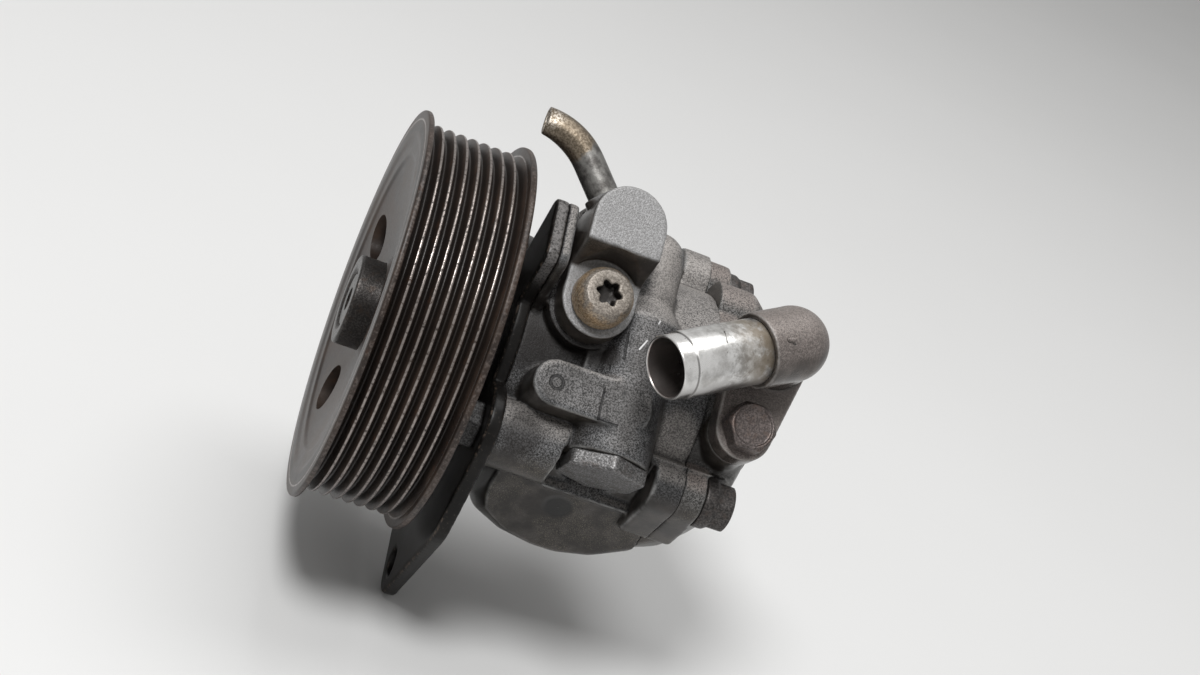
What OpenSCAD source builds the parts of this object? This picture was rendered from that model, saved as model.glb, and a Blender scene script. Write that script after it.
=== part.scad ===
// Belt-driven vane pump for hydraulic power steering.
// X runs along the shaft towards the rear cover, and the origin is on the shaft axis
// in the middle plane of the belt. The ports sit in a frame rolled about X: there the
// second axis runs up along the control valve and the third axis points out of the ports.

/* [Pulley] */
// Number of belt grooves
groove_count = 8; // [6:1:9]
// Distance between neighbouring belt ribs
rib_pitch = 3.56; // [3.2:0.01:3.8]
// Outer diameter of the two flanges
flange_d = 116.6; // [112:0.2:120]
// Diameter over the ridges between the grooves
ridge_d = 110.6; // [108:0.2:111]
// Depth of one groove
groove_depth = 2.8; // [2:0.1:3.2]
// Thickness of the front flange
front_flange_t = 1.7; // [1.2:0.1:2.5]
// Thickness of the rear flange
rear_flange_t = 2; // [1.2:0.1:3]
// Wall under the grooves
rim_t = 3.5; // [2.5:0.1:5]
// Thickness of the web
web_t = 3.5; // [2.5:0.1:5]
// Depth of the web's edge behind the front flange
web_set = 1.5; // [1.5:0.1:4]
// Depth of the web's dish from its edge to the hub
web_dish = 5; // [3:0.1:7]
// Diameter of the four round holes in the web
web_hole_d = 14.5; // [10:0.5:17]
// Radius on which the round holes sit
web_hole_r = 33.6; // [31:0.1:34.5]
// Outer diameter of the hub
hub_d = 26.5; // [24:0.5:30]
// Height of the hub in front of the front flange
hub_proud = 2.7; // [1:0.1:5]

/* [Shaft and bearing] */
// Diameter of the shaft at pulley, bearing and seal
shaft_d = 17; // [16:0.5:18]
// Diameter of the shaft's tail in the rear bush
tail_d = 12.9; // [11:0.1:13.5]
// Drill diameter of the thread in the shaft's nose
nose_thread_d = 6.8; // [5:0.1:8.5]
// Outer diameter of the ball bearing
bearing_d = 40; // [39:0.5:42]
// Width of the ball bearing
bearing_w = 12; // [11:0.5:14]
// Diameter of a bearing ball
ball_d = 6.75; // [6:0.05:7]
// Number of bearing balls
ball_count = 8; // [6:1:8]
// Outer diameter of the shaft seal
seal_d = 30; // [28:0.5:34]
// Width of the shaft seal
seal_w = 7; // [5:0.5:9]

/* [Mounting plate] */
// Space between pulley and plate
plate_gap = 6.3; // [6:0.1:9]
// Thickness of the plate
plate_t = 4; // [3:0.1:6]
// Diameter of the hole in the lower ear
ear_hole_d = 9; // [7:0.1:10]
// Radius from the shaft axis to the ear's hole
ear_r = 73.3; // [68:0.1:80]
// Angle of the ear's hole about the shaft axis
ear_angle = 258.4; // [250:0.2:265]
// Radius of the rounded end of the ear
ear_end_r = 9.5; // [8:0.5:12]

/* [Housing and cover] */
// Diameter of the nose that stands through the plate
nose_d = 50; // [48:0.5:52]
// Height of the nose in front of the plate
nose_proud = 2; // [1:0.1:3]
// Diameter of the neck behind the plate
neck_d = 66; // [62:1:68]
// Wall of the barrel around the rotor chamber
barrel_wall = 7; // [5.5:0.5:9]
// Depth of the rotor chamber in the housing
chamber_depth = 13; // [11:0.5:15]
// Wall behind the rotor chamber
cover_wall = 6; // [5:0.5:9]
// Thickness of the cover's bolt lugs
lug_t = 7; // [6:0.5:9]
// Distance of the cover bolts from the chamber wall
bolt_inset = 10.2; // [9.8:0.1:11]
// Thread diameter of the plate screws and cover bolts
bolt_d = 8; // [6:0.5:8]
// Radius of the bolt bosses
boss_r = 9; // [8:0.25:9.5]

/* [Rotor set] */
// Outer diameter of the cam ring
cam_d = 59.8; // [58:0.2:62]
// Width of the cam ring
cam_w = 15; // [12:0.5:18]
// Thinnest wall of the cam ring
cam_wall = 5.7; // [5.5:0.1:6.9]
// Height of the two lobes of the cam track
cam_lift = 2.2; // [1.5:0.1:2.4]
// Space between the rotor and the low parts of the cam track
rotor_gap = 1.5; // [1.2:0.1:2]
// Thickness of a vane
vane_t = 1.6; // [1.2:0.1:2]
// Height of a vane
vane_h = 8; // [6.5:0.1:8.5]
// Thickness of the front side plate
front_plate_t = 6; // [5:0.5:8]
// Thickness of the rear side plate
rear_plate_t = 5; // [4:0.5:7]

/* [Control valve] */
// Diameter of the valve bore
valve_d = 14; // [12:0.5:14.5]
// Distance of the valve axis from the shaft axis
valve_out = 30; // [28.5:0.5:31]
// Radius of the boss around the valve
valve_boss_r = 12.5; // [12:0.25:13.5]
// Distance of the plug's seat below the shaft axis
plug_drop = 30.5; // [29:0.5:33]
// Width across flats of the plug
plug_af = 22.6; // [20:0.2:23]
// Height of the plug's hexagon
plug_h = 4.5; // [3:0.5:6]
// Length of the valve spool
spool_l = 16.4; // [14:0.2:17]
// Travel of the valve spool against its spring
spool_travel = 6; // [4:0.5:7]

/* [Pressure union] */
// Height of the port faces above the barrel
port_rise = 1; // [0:0.25:2]
// Half width of the union
union_r = 10.6; // [10:0.1:11.5]
// Thickness of the union under its bolt
union_flange_t = 8; // [6:0.5:9]
// Thickness of the union's head
union_head_t = 20; // [17:0.5:22]
// Distance between the union's bolt and its port
union_pitch = 19.8; // [19:0.1:22]
// Head diameter of the union bolt
union_bolt_head_d = 16.6; // [15:0.2:18]
// Thread diameter of the union bolt
union_bolt_d = 10; // [8:0.5:10]
// Outer diameter of the pressure pipe
pipe_d = 9; // [8:0.2:10]
// Wall of the pressure pipe
pipe_wall = 1.4; // [1:0.1:2]
// Bend radius of the pressure pipe
pipe_bend_r = 20; // [18:0.5:26]
// Length of the straight pipe from the port to the bend
pipe_straight = 21.5; // [17:0.5:24]

/* [Suction elbow] */
// Outer diameter of the suction tube
tube_d = 18.2; // [17:0.2:19]
// Wall of the suction tube
tube_wall = 1.2; // [0.9:0.1:1.6]
// Length of the tube from the elbow's middle to its mouth
tube_reach = 43.6; // [40:0.2:48]
// Outer diameter of the elbow
elbow_d = 21.2; // [21:0.2:23]
// Thickness of the elbow's flange
elbow_flange_t = 7; // [5:0.5:8]
// Height of the elbow's barrel above its flange
elbow_rise = 11; // [10.5:0.5:14]
// Distance between the elbow's bolt and its spigot
elbow_pitch = 24.3; // [23.5:0.1:26]

/* [Hidden] */
$fn = 64;

// Clearances: turning fits, sliding fits, fixed fits and how far a cut runs past a face
run_fit = 0.05;
seat_fit = 0.02;
case_fit = 0.1;
past = 1;

// Places along the shaft, each from the one before
belt_w = groove_count * rib_pitch;
pulley_front = -belt_w / 2 - front_flange_t;
pulley_back = belt_w / 2 + rear_flange_t;
hub_front = pulley_front - hub_proud;
hub_back = pulley_back + 0.8;
plate_front = pulley_back + plate_gap;
plate_back = plate_front + plate_t;
nose_front = plate_front - nose_proud;
circlip_t = 1.6;
circlip_front = nose_front + 1.5;
bearing_front = circlip_front + circlip_t;
bearing_back = bearing_front + bearing_w;
snap_ring_t = 1.2;
snap_ring_x = bearing_back + run_fit;
seal_front = bearing_back + 2.2;
seal_back = seal_front + seal_w;
valve_x = seal_back + 7.2 + valve_d / 2;
chamber_front = valve_x + valve_d / 2 + 3.5;
spring_h = 1.5;
front_plate_x = chamber_front + spring_h;
cam_front = front_plate_x + front_plate_t;
cam_back = cam_front + cam_w;
chamber_back = cam_back + rear_plate_t;
split_x = chamber_front + chamber_depth;
cover_back = chamber_back + cover_wall;
bolt_seat = split_x + lug_t;
end_boss_back = cover_back + 5;
bush_l = 8;

// Radii of the barrel and its bolts
chamber_r = cam_d / 2 + case_fit;
barrel_r = chamber_r + barrel_wall;
cam_max_r = cam_d / 2 - cam_wall;
cam_min_r = cam_max_r - cam_lift;
rotor_r = cam_min_r - rotor_gap;
port_face = barrel_r + port_rise;
cover_r = barrel_r - 1;
bolt_r = chamber_r + bolt_inset;
neck_r = neck_d / 2;
shaft_r = shaft_d / 2;
passage_r = shaft_r + 1.5;
neck_back = seal_back + 1;
near_angle = 184.5;
plate_screw_angles = [near_angle, near_angle + 110, near_angle + 180];
far_bolt_angles = [near_angle + 97, near_angle + 160.5, near_angle + 222.5];
cover_bolt_angles = concat([near_angle], far_bolt_angles);
rear_boss_l = 9;
near_boss_r = boss_r - 1.4;
front_boss_r = boss_r + 0.7;
screw_depth = 17;
bolt_head_af = bolt_d * 1.625;
bolt_head_h = bolt_d * 0.66;
bolt_grip = 0.02;
bolt_shank_d = bolt_d - 2 * bolt_grip;
collar_t = 4;
collar_r = bolt_head_af * 0.58;
o_ring_d = 2.4;
o_ring_groove = 2.2;
groove_half = o_ring_d / 2 + case_fit;
cover_ring_r = chamber_r + 2.6;

// Bearing
pitch_r = (bearing_d / 2 + shaft_r) / 2;
ball_r = ball_d / 2;
track_r = ball_r + case_fit;
race_gap = 2.2;

// Ports, in the rolled frame
port_roll = 45;
port_x = plate_back + 15.3;
union_bolt_b = 8.3;
port_b = union_bolt_b + union_pitch;
union_seat = port_face + union_flange_t;
union_top = port_face + union_head_t;
pipe_out = port_face + 10.5;
port_r = 5;
pipe_heading = 129.5;
pipe_turn = 49;
union_pad_r = union_r + 1.2;
plug_thread_r = valve_d / 2 + 1;
plug_thread_l = 10;
plug_inner = -plug_drop + plug_thread_l;
bore_end = 8;
spool_rest = bore_end - 0.6;
spool_cup_r = valve_d / 2 - 1.4;
spool_cup_l = 9;
spring_wire = 1.3;
spring_turns = 6;
boss_top = 31.5;
boss_neck_r = valve_boss_r - 4;

// Suction elbow, in the rolled frame
suction_x = chamber_back - 2;
suction_b = 11.8;
elbow_bolt_x = suction_x - 3.2;
elbow_bolt_b = suction_b - elbow_pitch;
elbow_out = port_face + elbow_flange_t + elbow_rise;
elbow_r = elbow_d / 2;
spigot_r = 8;
spigot_l = 7.4;
tube_azimuth = 211.3;
tube_lift = 12.3;
tube_seat = 8;
elbow_sleeve = 13.5;
suction_boss_r = 11.6;
elbow_boss_r = 8.4;

// Shapes along the shaft
module along_x(x0, x1, r) {
    translate([x0, 0, 0]) rotate([0, 90, 0]) cylinder(h = x1 - x0, r = r);
}
module cone_x(x0, x1, r0, r1) {
    translate([x0, 0, 0]) rotate([0, 90, 0]) cylinder(h = x1 - x0, r1 = r0, r2 = r1);
}
module ring_x(x0, x1, outer, inner) {
    difference() {
        along_x(x0, x1, outer);
        along_x(x0 - past, x1 + past, inner);
    }
}
module turned() {
    rotate([0, 90, 0]) rotate_extrude($fn = 96) children();
}
module at_polar(r, angle) {
    translate([0, r * cos(angle), r * sin(angle)]) children();
}
// A radial web that ties a boss at radius r to the middle
module boss_web(x0, x1, r, angle, w) {
    rotate([angle, 0, 0]) translate([x0, 0, -w / 2]) cube([x1 - x0, r, w]);
}

// Shapes in the rolled frame of the ports
module ports() {
    rotate([port_roll, 0, 0]) children();
}
module along_n(x, b, a0, a1, r) {
    translate([x, b, a0]) cylinder(h = a1 - a0, r = r);
}
module along_b(x, a, b0, b1, r) {
    translate([x, b0, a]) rotate([-90, 0, 0]) cylinder(h = b1 - b0, r = r);
}
module torus(ring_r, section_d) {
    rotate_extrude() translate([ring_r, 0]) circle(d = section_d, $fn = 32);
}

// Hexagon bolt along Z: the head stands from 0 up, the shank runs down
module hex_head(af, head_h) {
    corner = af / sqrt(3);
    intersection() {
        cylinder(h = head_h, r = corner, $fn = 6);
        cylinder(h = head_h, r1 = corner + head_h, r2 = af * 0.47);
    }
}
module hex_bolt(af, head_h, d, l) {
    hex_head(af, head_h);
    translate([0, 0, -l]) cylinder(h = l, d = d);
}
module washer(d, hole_d, t) {
    difference() {
        cylinder(h = t, d = d);
        translate([0, 0, -past]) cylinder(h = t + 2 * past, d = hole_d);
    }
}

// Pulley: a spun rim with V grooves on a dished web
valley_r = ridge_d / 2 - groove_depth;
rim_in_r = valley_r - rim_t;
web_front = pulley_front + web_set;
ridge_flat = 0.35;
valley_flat = 0.3;
groove_points = [
    for (k = [0:groove_count - 1]) let (x = -belt_w / 2 + k * rib_pitch) each [
        [ridge_d / 2, x + (k == 0 ? 0 : ridge_flat)],
        [valley_r, x + rib_pitch / 2 - valley_flat],
        [valley_r, x + rib_pitch / 2 + valley_flat],
        [ridge_d / 2, x + rib_pitch - (k == groove_count - 1 ? 0 : ridge_flat)]
    ]
];
hub_flare = 2.5;
edge_break = 0.4;
module pulley_profile() {
    polygon(concat(
        [
            [hub_d / 2 + seat_fit, web_front + web_dish - hub_flare * 0.8],
            [hub_d / 2 + hub_flare, web_front + web_dish],
            [rim_in_r - 5, web_front],
            [rim_in_r - 4, web_front - 0.8],
            [rim_in_r, web_front - 0.8],
            [rim_in_r + 2, pulley_front],
            [flange_d / 2 - edge_break, pulley_front],
            [flange_d / 2, pulley_front + edge_break],
            [flange_d / 2, -belt_w / 2 - edge_break]
        ],
        groove_points,
        [
            [flange_d / 2, belt_w / 2 + edge_break],
            [flange_d / 2, pulley_back - edge_break],
            [flange_d / 2 - edge_break, pulley_back],
            [rim_in_r, pulley_back],
            [rim_in_r, web_front + web_t + 3],
            [rim_in_r - 3, web_front + web_t],
            [hub_d / 2 + seat_fit, web_front + web_dish + web_t]
        ]
    ));
}
first_hole_angle = 280;
module pulley() {
    color([0.09, 0.075, 0.065])
    difference() {
        turned() pulley_profile();
        for (k = [0:3])
            at_polar(web_hole_r, first_hole_angle + 90 * k)
                along_x(pulley_front - past, web_front + web_dish + web_t, web_hole_d / 2);
    }
}
module pulley_hub() {
    color([0.06, 0.055, 0.05])
    difference() {
        union() {
            cone_x(hub_front, hub_front + edge_break, hub_d / 2 - edge_break, hub_d / 2);
            along_x(hub_front + edge_break, hub_back, hub_d / 2);
        }
        along_x(hub_front - past, hub_back + past, shaft_r + seat_fit);
        cone_x(hub_front - past, hub_front + 1, shaft_r + 2, shaft_r);
    }
}

// Drive shaft with a tapped nose, a snap ring groove, splines under the rotor and a tail
nose_set = 0.6;
nose_thread_l = hub_proud + front_flange_t + belt_w / 2 + 6;
spline_count = 12;
spline_w = 2;
spline_h = 1;
spline_root_r = shaft_r - 1.1;
tail_end = chamber_back + bush_l - 0.5;
shaft_nose = hub_front + nose_set;
ring_groove = 0.6;
spline_short = 0.3;
module splines(grow, short) {
    for (k = [0:spline_count - 1])
        rotate([360 / spline_count * k, 0, 0])
            translate([cam_front + short - grow, 0, -spline_w / 2 - grow])
                cube([
                    cam_w - 2 * short + 2 * grow,
                    spline_root_r + spline_h + grow,
                    spline_w + 2 * grow
                ]);
}
module drive_shaft() {
    color([0.45, 0.44, 0.43])
    difference() {
        union() {
            cone_x(shaft_nose, shaft_nose + 1, shaft_r - 1, shaft_r);
            along_x(shaft_nose + 1, cam_front - past, shaft_r);
            along_x(cam_front - past, cam_back - spline_short, spline_root_r);
            splines(0, spline_short);
            along_x(cam_back - past, tail_end, tail_d / 2);
        }
        along_x(shaft_nose - past, shaft_nose + nose_thread_l, nose_thread_d / 2);
        ring_x(snap_ring_x, snap_ring_x + snap_ring_t + 0.1, shaft_r + past, shaft_r - ring_groove);
    }
}
module shaft_snap_ring() {
    color([0.35, 0.35, 0.36])
    difference() {
        ring_x(snap_ring_x, snap_ring_x + snap_ring_t, shaft_r + 1.6, shaft_r - ring_groove + seat_fit);
        translate([bearing_back - past, -1.5, 0]) cube([snap_ring_t + 2 * past, 3, bearing_d]);
    }
}

// Ball bearing
module ball_track() {
    turned() translate([pitch_r, (bearing_front + bearing_back) / 2]) circle(r = track_r);
}
module bearing_outer_race() {
    color([0.62, 0.62, 0.63])
    difference() {
        ring_x(bearing_front, bearing_back, bearing_d / 2, pitch_r + race_gap);
        ball_track();
    }
}
module bearing_inner_race() {
    color([0.62, 0.62, 0.63])
    difference() {
        ring_x(bearing_front, bearing_back, pitch_r - race_gap, shaft_r + seat_fit);
        ball_track();
    }
}
module ball_places() {
    for (k = [0:ball_count - 1])
        rotate([360 / ball_count * k, 0, 0])
            translate([(bearing_front + bearing_back) / 2, pitch_r, 0]) children();
}
module bearing_balls() {
    color([0.75, 0.75, 0.76]) ball_places() sphere(r = ball_r);
}
cage_half_w = ball_r + 0.7;
module bearing_cage() {
    color([0.55, 0.45, 0.28])
    difference() {
        ring_x(
            (bearing_front + bearing_back) / 2 - cage_half_w,
            (bearing_front + bearing_back) / 2 + cage_half_w,
            pitch_r + race_gap / 2,
            pitch_r - race_gap / 2
        );
        ball_places() rotate([90, 0, 0]) cylinder(h = 2 * race_gap, r = ball_r + run_fit, center = true);
    }
}
circlip_r = bearing_d / 2 + 1.2;
module bearing_circlip() {
    color([0.3, 0.3, 0.31])
    difference() {
        ring_x(circlip_front, circlip_front + circlip_t - run_fit, circlip_r, bearing_d / 2 - 2.4);
        translate([circlip_front - past, -3, -circlip_r - past]) cube([circlip_t + 2 * past, 6, circlip_r]);
    }
}
module shaft_seal() {
    color([0.1, 0.09, 0.09])
    turned()
        polygon([
            [seal_d / 2, seal_front],
            [seal_d / 2, seal_back],
            [seal_d / 2 - 1.5, seal_back],
            [seal_d / 2 - 1.5, seal_front + 2],
            [shaft_r + 1.6, seal_front + 2],
            [shaft_r + 1.8, seal_back - 1],
            [shaft_r + run_fit, seal_back - 2],
            [shaft_r + run_fit, seal_back - 3],
            [shaft_r + 0.6, seal_front]
        ]);
}

// Mounting plate: one flat plate with lugs on the bosses and a long ear below
lug_r = boss_r + 4;
bulge = [-34, -30, 16];
far_foot = [12, -58, 12];
top_lug = [[-11.5, 52.5, 3.5], [-24, 45, 3.5], [-9, 24, 10]];
ear_place = [ear_r * cos(ear_angle), ear_r * sin(ear_angle)];
screw_places = [for (angle = plate_screw_angles) bolt_r * [cos(angle), sin(angle)]];
module disc_at(place, r) {
    translate(place) circle(r = r, $fn = 32);
}
module spot(s) {
    disc_at([s[0], s[1]], s[2]);
}
module plate_outline() {
    circle(r = neck_r + 2);
    hull() {
        disc_at(screw_places[0], lug_r);
        spot(bulge);
        disc_at(ear_place, ear_end_r);
        spot(far_foot);
        disc_at(screw_places[1], lug_r);
    }
    hull() {
        for (s = top_lug) spot(s);
    }
    hull() {
        disc_at(screw_places[2], lug_r);
        circle(r = neck_r - 5);
    }
}
// Stands a flat outline, drawn with Y and Z as its axes, upright at x
module upright(x, t) {
    translate([x, 0, 0]) rotate([90, 0, 90]) linear_extrude(t) children();
}
module mounting_plate() {
    color([0.07, 0.065, 0.065])
    difference() {
        upright(plate_front, plate_t) plate_outline();
        along_x(plate_front - past, plate_back + past, nose_d / 2 + case_fit);
        for (p = screw_places)
            translate([0, p[0], p[1]])
                along_x(plate_front - past, plate_back + past, bolt_d / 2 + case_fit);
        translate([0, ear_place[0], ear_place[1]])
            along_x(plate_front - past, plate_back + past, ear_hole_d / 2);
    }
}
module plate_screws() {
    color([0.2, 0.19, 0.18])
    for (p = screw_places)
        translate([plate_front, p[0], p[1]]) rotate([0, -90, 0])
            hex_bolt(bolt_head_af, bolt_head_h, bolt_shank_d, plate_t + screw_depth - 1);
}

// Pump housing
view_roll = 25.5;
neck_blend = 4;
belly_r = barrel_r + 13.4;
belly_side = 90;
flank_out = 38.5;
flank_roll = 14.6;
belly_front = plate_back + 8;
trim = 2;
web_step = 0.5;
top_lug_depth = 3;
shelf_front = belly_front + 12;
shelf_outline = [[-35.6, -12.9], [-39.6, -15.2], [-34.6, -18]];
module belly_profile() {
    mid = belly_front + 25;
    polygon([
        [0, belly_front],
        [belly_r - 9, belly_front],
        [belly_r - 5, belly_front + 2.5],
        [belly_r - 1.5, belly_front + 11],
        [belly_r, mid - 4],
        [belly_r, mid + 3],
        [belly_r - 2, mid + 13],
        [barrel_r + 7, split_x],
        [barrel_r + 7, split_x + trim],
        [0, split_x + trim]
    ]);
}
// The belly under the barrel: a round swell, cut flat on both flanks
module belly() {
    intersection() {
        turned() children();
        rotate([-view_roll, 0, 0])
            translate([belly_front - past, -flank_out, -belly_side])
                cube([belly_side, flank_out + 30, belly_side - 12]);
        rotate([flank_roll, 0, 0])
            translate([belly_front - past, -flank_out, -belly_side])
                cube([belly_side, 2 * flank_out + 30, 2 * belly_side]);
    }
}
module stadium_n(x0, b0, x1, b1, a0, a1, r) {
    along_n(x0, b0, a0, a1, r);
    along_n(x1, b1, a0, a1, r);
    translate([(x0 + x1) / 2, (b0 + b1) / 2, a0])
        rotate([0, 0, atan2(b1 - b0, x1 - x0)])
            translate([-norm([x1 - x0, b1 - b0]) / 2, -r, 0])
                cube([norm([x1 - x0, b1 - b0]), 2 * r, a1 - a0]);
}
ring_pad_x = port_x - 4.5;
ring_pad_b = -16.4;
ring_pad_out = port_face + 4;
ring_pad_r = 6.7;
pad_root = 15;
module valve_body() {
    along_b(valve_x, valve_out, -plug_drop, bore_end + 3, valve_boss_r);
    translate([valve_x, bore_end + 3, valve_out]) rotate([-90, 0, 0])
        cylinder(h = 6, r1 = valve_boss_r, r2 = boss_neck_r);
    along_b(valve_x, valve_out, bore_end + 9, boss_top, boss_neck_r);
    translate([valve_x, boss_top, valve_out]) sphere(r = boss_neck_r);
    translate([valve_x - boss_neck_r, -plug_drop + 4, pad_root])
        cube([2 * boss_neck_r, plug_drop - 4 + boss_top, valve_out - pad_root]);
}
// The near bolt's boss and the skirt that runs from it down to the belly
skirt_turn = 25;
skirt_r = 3;
skirt_out = barrel_r + 3.4;
function polar(r, angle) = [r * cos(angle), r * sin(angle)];
module near_boss(x0, x1) {
    upright(x0, x1 - x0) hull() {
        disc_at(polar(bolt_r, near_angle), near_boss_r);
        disc_at(polar(skirt_out, near_angle + skirt_turn), skirt_r);
        disc_at(polar(chamber_r, near_angle), near_boss_r);
    }
}
// Bosses and belly run past both joint faces and are trimmed there in one cut each
module bossed_barrel() {
    front_boss_back = plate_back + screw_depth + 3;
    rear_boss_front = split_x - rear_boss_l;
    difference() {
        union() {
            along_x(plate_back - trim, neck_back, neck_r);
            cone_x(neck_back - neck_blend, neck_back, neck_r, barrel_r);
            along_x(neck_back - past, split_x + trim, barrel_r);
            upright(plate_back - trim, trim + top_lug_depth) hull() {
                for (s = top_lug) spot(s);
            }
            upright(shelf_front, rear_boss_front + 1 - shelf_front) polygon(shelf_outline);
            for (angle = plate_screw_angles) {
                at_polar(bolt_r, angle) along_x(plate_back - trim, front_boss_back, front_boss_r);
                boss_web(plate_back - trim, front_boss_back - web_step, bolt_r, angle, front_boss_r * 1.4);
            }
            near_boss(rear_boss_front, split_x + trim);
            for (angle = far_bolt_angles) {
                at_polar(bolt_r, angle) along_x(rear_boss_front, split_x + trim, boss_r + 1);
                boss_web(rear_boss_front + web_step, split_x + trim, bolt_r, angle, boss_r * 1.6);
            }
            belly() belly_profile();
        }
        along_x(plate_back - 2 * trim, plate_back, belly_side);
        along_x(split_x, split_x + 2 * trim, belly_side);
    }
}
module housing_solid() {
    along_x(nose_front, plate_back + trim, nose_d / 2);
    bossed_barrel();
    ports() {
        valve_body();
        stadium_n(port_x, union_bolt_b, port_x, port_b, pad_root, port_face, union_pad_r);
        stadium_n(ring_pad_x, ring_pad_b, valve_x, ring_pad_b, pad_root, ring_pad_out, ring_pad_r);
    }
}
module shaft_cavity() {
    along_x(nose_front - past, bearing_back, bearing_d / 2 + seat_fit);
    along_x(circlip_front - run_fit, circlip_front + circlip_t, circlip_r + case_fit);
    along_x(bearing_back - past, seal_front, bearing_d / 2 - 3);
    along_x(seal_front - past, seal_back, seal_d / 2 + seat_fit);
    along_x(seal_back - past, chamber_front + past, passage_r);
    along_x(chamber_front, split_x + past, chamber_r);
}
union_bolt_l = 24;
gallery_r = 3;
ring_mark_r = 1.8;
union_clear = 0.3;
module port_cavity() {
    along_b(valve_x, valve_out, -plug_drop - 14, -plug_drop, plug_af / sqrt(3) + 1.2);
    along_b(valve_x, valve_out, -plug_drop - past, plug_inner + 0.5, plug_thread_r + seat_fit);
    along_b(valve_x, valve_out, -plug_drop - past, bore_end, valve_d / 2);
    along_b(valve_x, valve_out, bore_end - past, port_b, gallery_r);
    translate([port_x, port_b, valve_out]) rotate([0, 90, 0]) cylinder(h = valve_x - port_x, r = gallery_r);
    along_n(port_x, port_b, valve_out - gallery_r, port_face + past, port_r);
    along_n(port_x, union_bolt_b, union_seat - union_bolt_l - 1, port_face + past, union_bolt_d / 2);
    stadium_n(port_x, union_bolt_b, port_x, port_b, port_face, union_top, union_r + union_clear);
    translate([ring_pad_x, ring_pad_b, ring_pad_out]) torus(ring_mark_r, 0.7);
}
module pump_housing() {
    color([0.2, 0.2, 0.205])
    difference() {
        housing_solid();
        shaft_cavity();
        for (angle = plate_screw_angles)
            at_polar(bolt_r, angle) along_x(plate_back - past, plate_back + screw_depth, bolt_d / 2);
        for (angle = cover_bolt_angles)
            at_polar(bolt_r, angle) along_x(split_x - rear_boss_l + 1, split_x + past, bolt_d / 2);
        ring_x(
            split_x - o_ring_groove, split_x + past,
            cover_ring_r + groove_half, cover_ring_r - groove_half
        );
        ports() port_cavity();
    }
}

// Rear cover
dome_r = 14;
gallery_boss_r = 9.5;
gallery_boss_angle = 75;
gallery_boss_out = cover_r - 3.4;
end_boss_r = 14;
module cover_belly_profile() {
    polygon([
        [0, split_x - trim],
        [barrel_r + 6, split_x - trim],
        [barrel_r + 6, split_x],
        [barrel_r + 3, split_x + 8],
        [barrel_r - 2, split_x + 14],
        [barrel_r - 6, split_x + 18],
        [0, split_x + 18]
    ]);
}
module domed_cover() {
    difference() {
        union() {
            belly() cover_belly_profile();
            turned()
                difference() {
                    translate([0, split_x - trim]) square([cover_r, cover_back - split_x + trim]);
                    translate([cover_r - dome_r, cover_back - dome_r])
                        difference() {
                            square([dome_r + past, dome_r + past]);
                            circle(r = dome_r);
                        }
                }
            at_polar(gallery_boss_out, gallery_boss_angle) {
                along_x(split_x - trim, chamber_back - 3, gallery_boss_r);
                cone_x(chamber_back - 3, chamber_back + 1.5, gallery_boss_r, gallery_boss_r - 3.5);
            }
            near_boss(split_x - trim, bolt_seat + web_step);
            for (angle = far_bolt_angles) {
                at_polar(bolt_r, angle) along_x(split_x - trim, bolt_seat + web_step, boss_r);
                boss_web(split_x - trim, bolt_seat - web_step, bolt_r, angle, boss_r * 1.6);
            }
        }
        along_x(split_x - 2 * trim, split_x, belly_side);
    }
}
module cover_solid() {
    domed_cover();
    along_x(cover_back - past, end_boss_back, end_boss_r);
    ports() {
        along_n(suction_x, suction_b, pad_root / 2, port_face, suction_boss_r);
        along_n(elbow_bolt_x, elbow_bolt_b, pad_root, port_face, elbow_boss_r);
        stadium_n(
            elbow_bolt_x, elbow_bolt_b, suction_x, suction_b,
            pad_root, port_face - 2, elbow_boss_r - 1
        );
    }
}
elbow_grip = 6;
elbow_bolt_l = elbow_flange_t + elbow_grip;
module rear_cover() {
    color([0.22, 0.22, 0.225])
    difference() {
        cover_solid();
        along_x(split_x - past, chamber_back, chamber_r);
        along_x(chamber_back - past, chamber_back + bush_l + 1, tail_d / 2 + 1.5);
        for (angle = cover_bolt_angles)
            at_polar(bolt_r, angle) {
                along_x(split_x - past, bolt_seat + past, bolt_d / 2 + case_fit);
                along_x(bolt_seat, end_boss_back, collar_r + 0.5);
            }
        ports() {
            along_n(
                suction_x, suction_b, port_face - spigot_l - 0.4, port_face + past, spigot_r + seat_fit
            );
            along_n(suction_x, suction_b, valve_out - 8, port_face, spigot_r - 2);
            along_n(elbow_bolt_x, elbow_bolt_b, port_face - elbow_grip - 1, port_face + past, bolt_d / 2);
        }
    }
}
module cover_bolts() {
    color([0.16, 0.155, 0.15])
    for (angle = cover_bolt_angles)
        at_polar(bolt_r, angle) translate([bolt_seat, 0, 0]) rotate([0, 90, 0]) {
            cylinder(h = collar_t, r = collar_r);
            translate([0, 0, collar_t])
                hex_bolt(bolt_head_af, bolt_head_h, bolt_shank_d, collar_t + lug_t + rear_boss_l - 2);
        }
}
module cover_o_ring() {
    color([0.05, 0.05, 0.05])
    translate([split_x - o_ring_groove / 2, 0, 0]) rotate([0, 90, 0]) torus(cover_ring_r, o_ring_groove);
}

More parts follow.
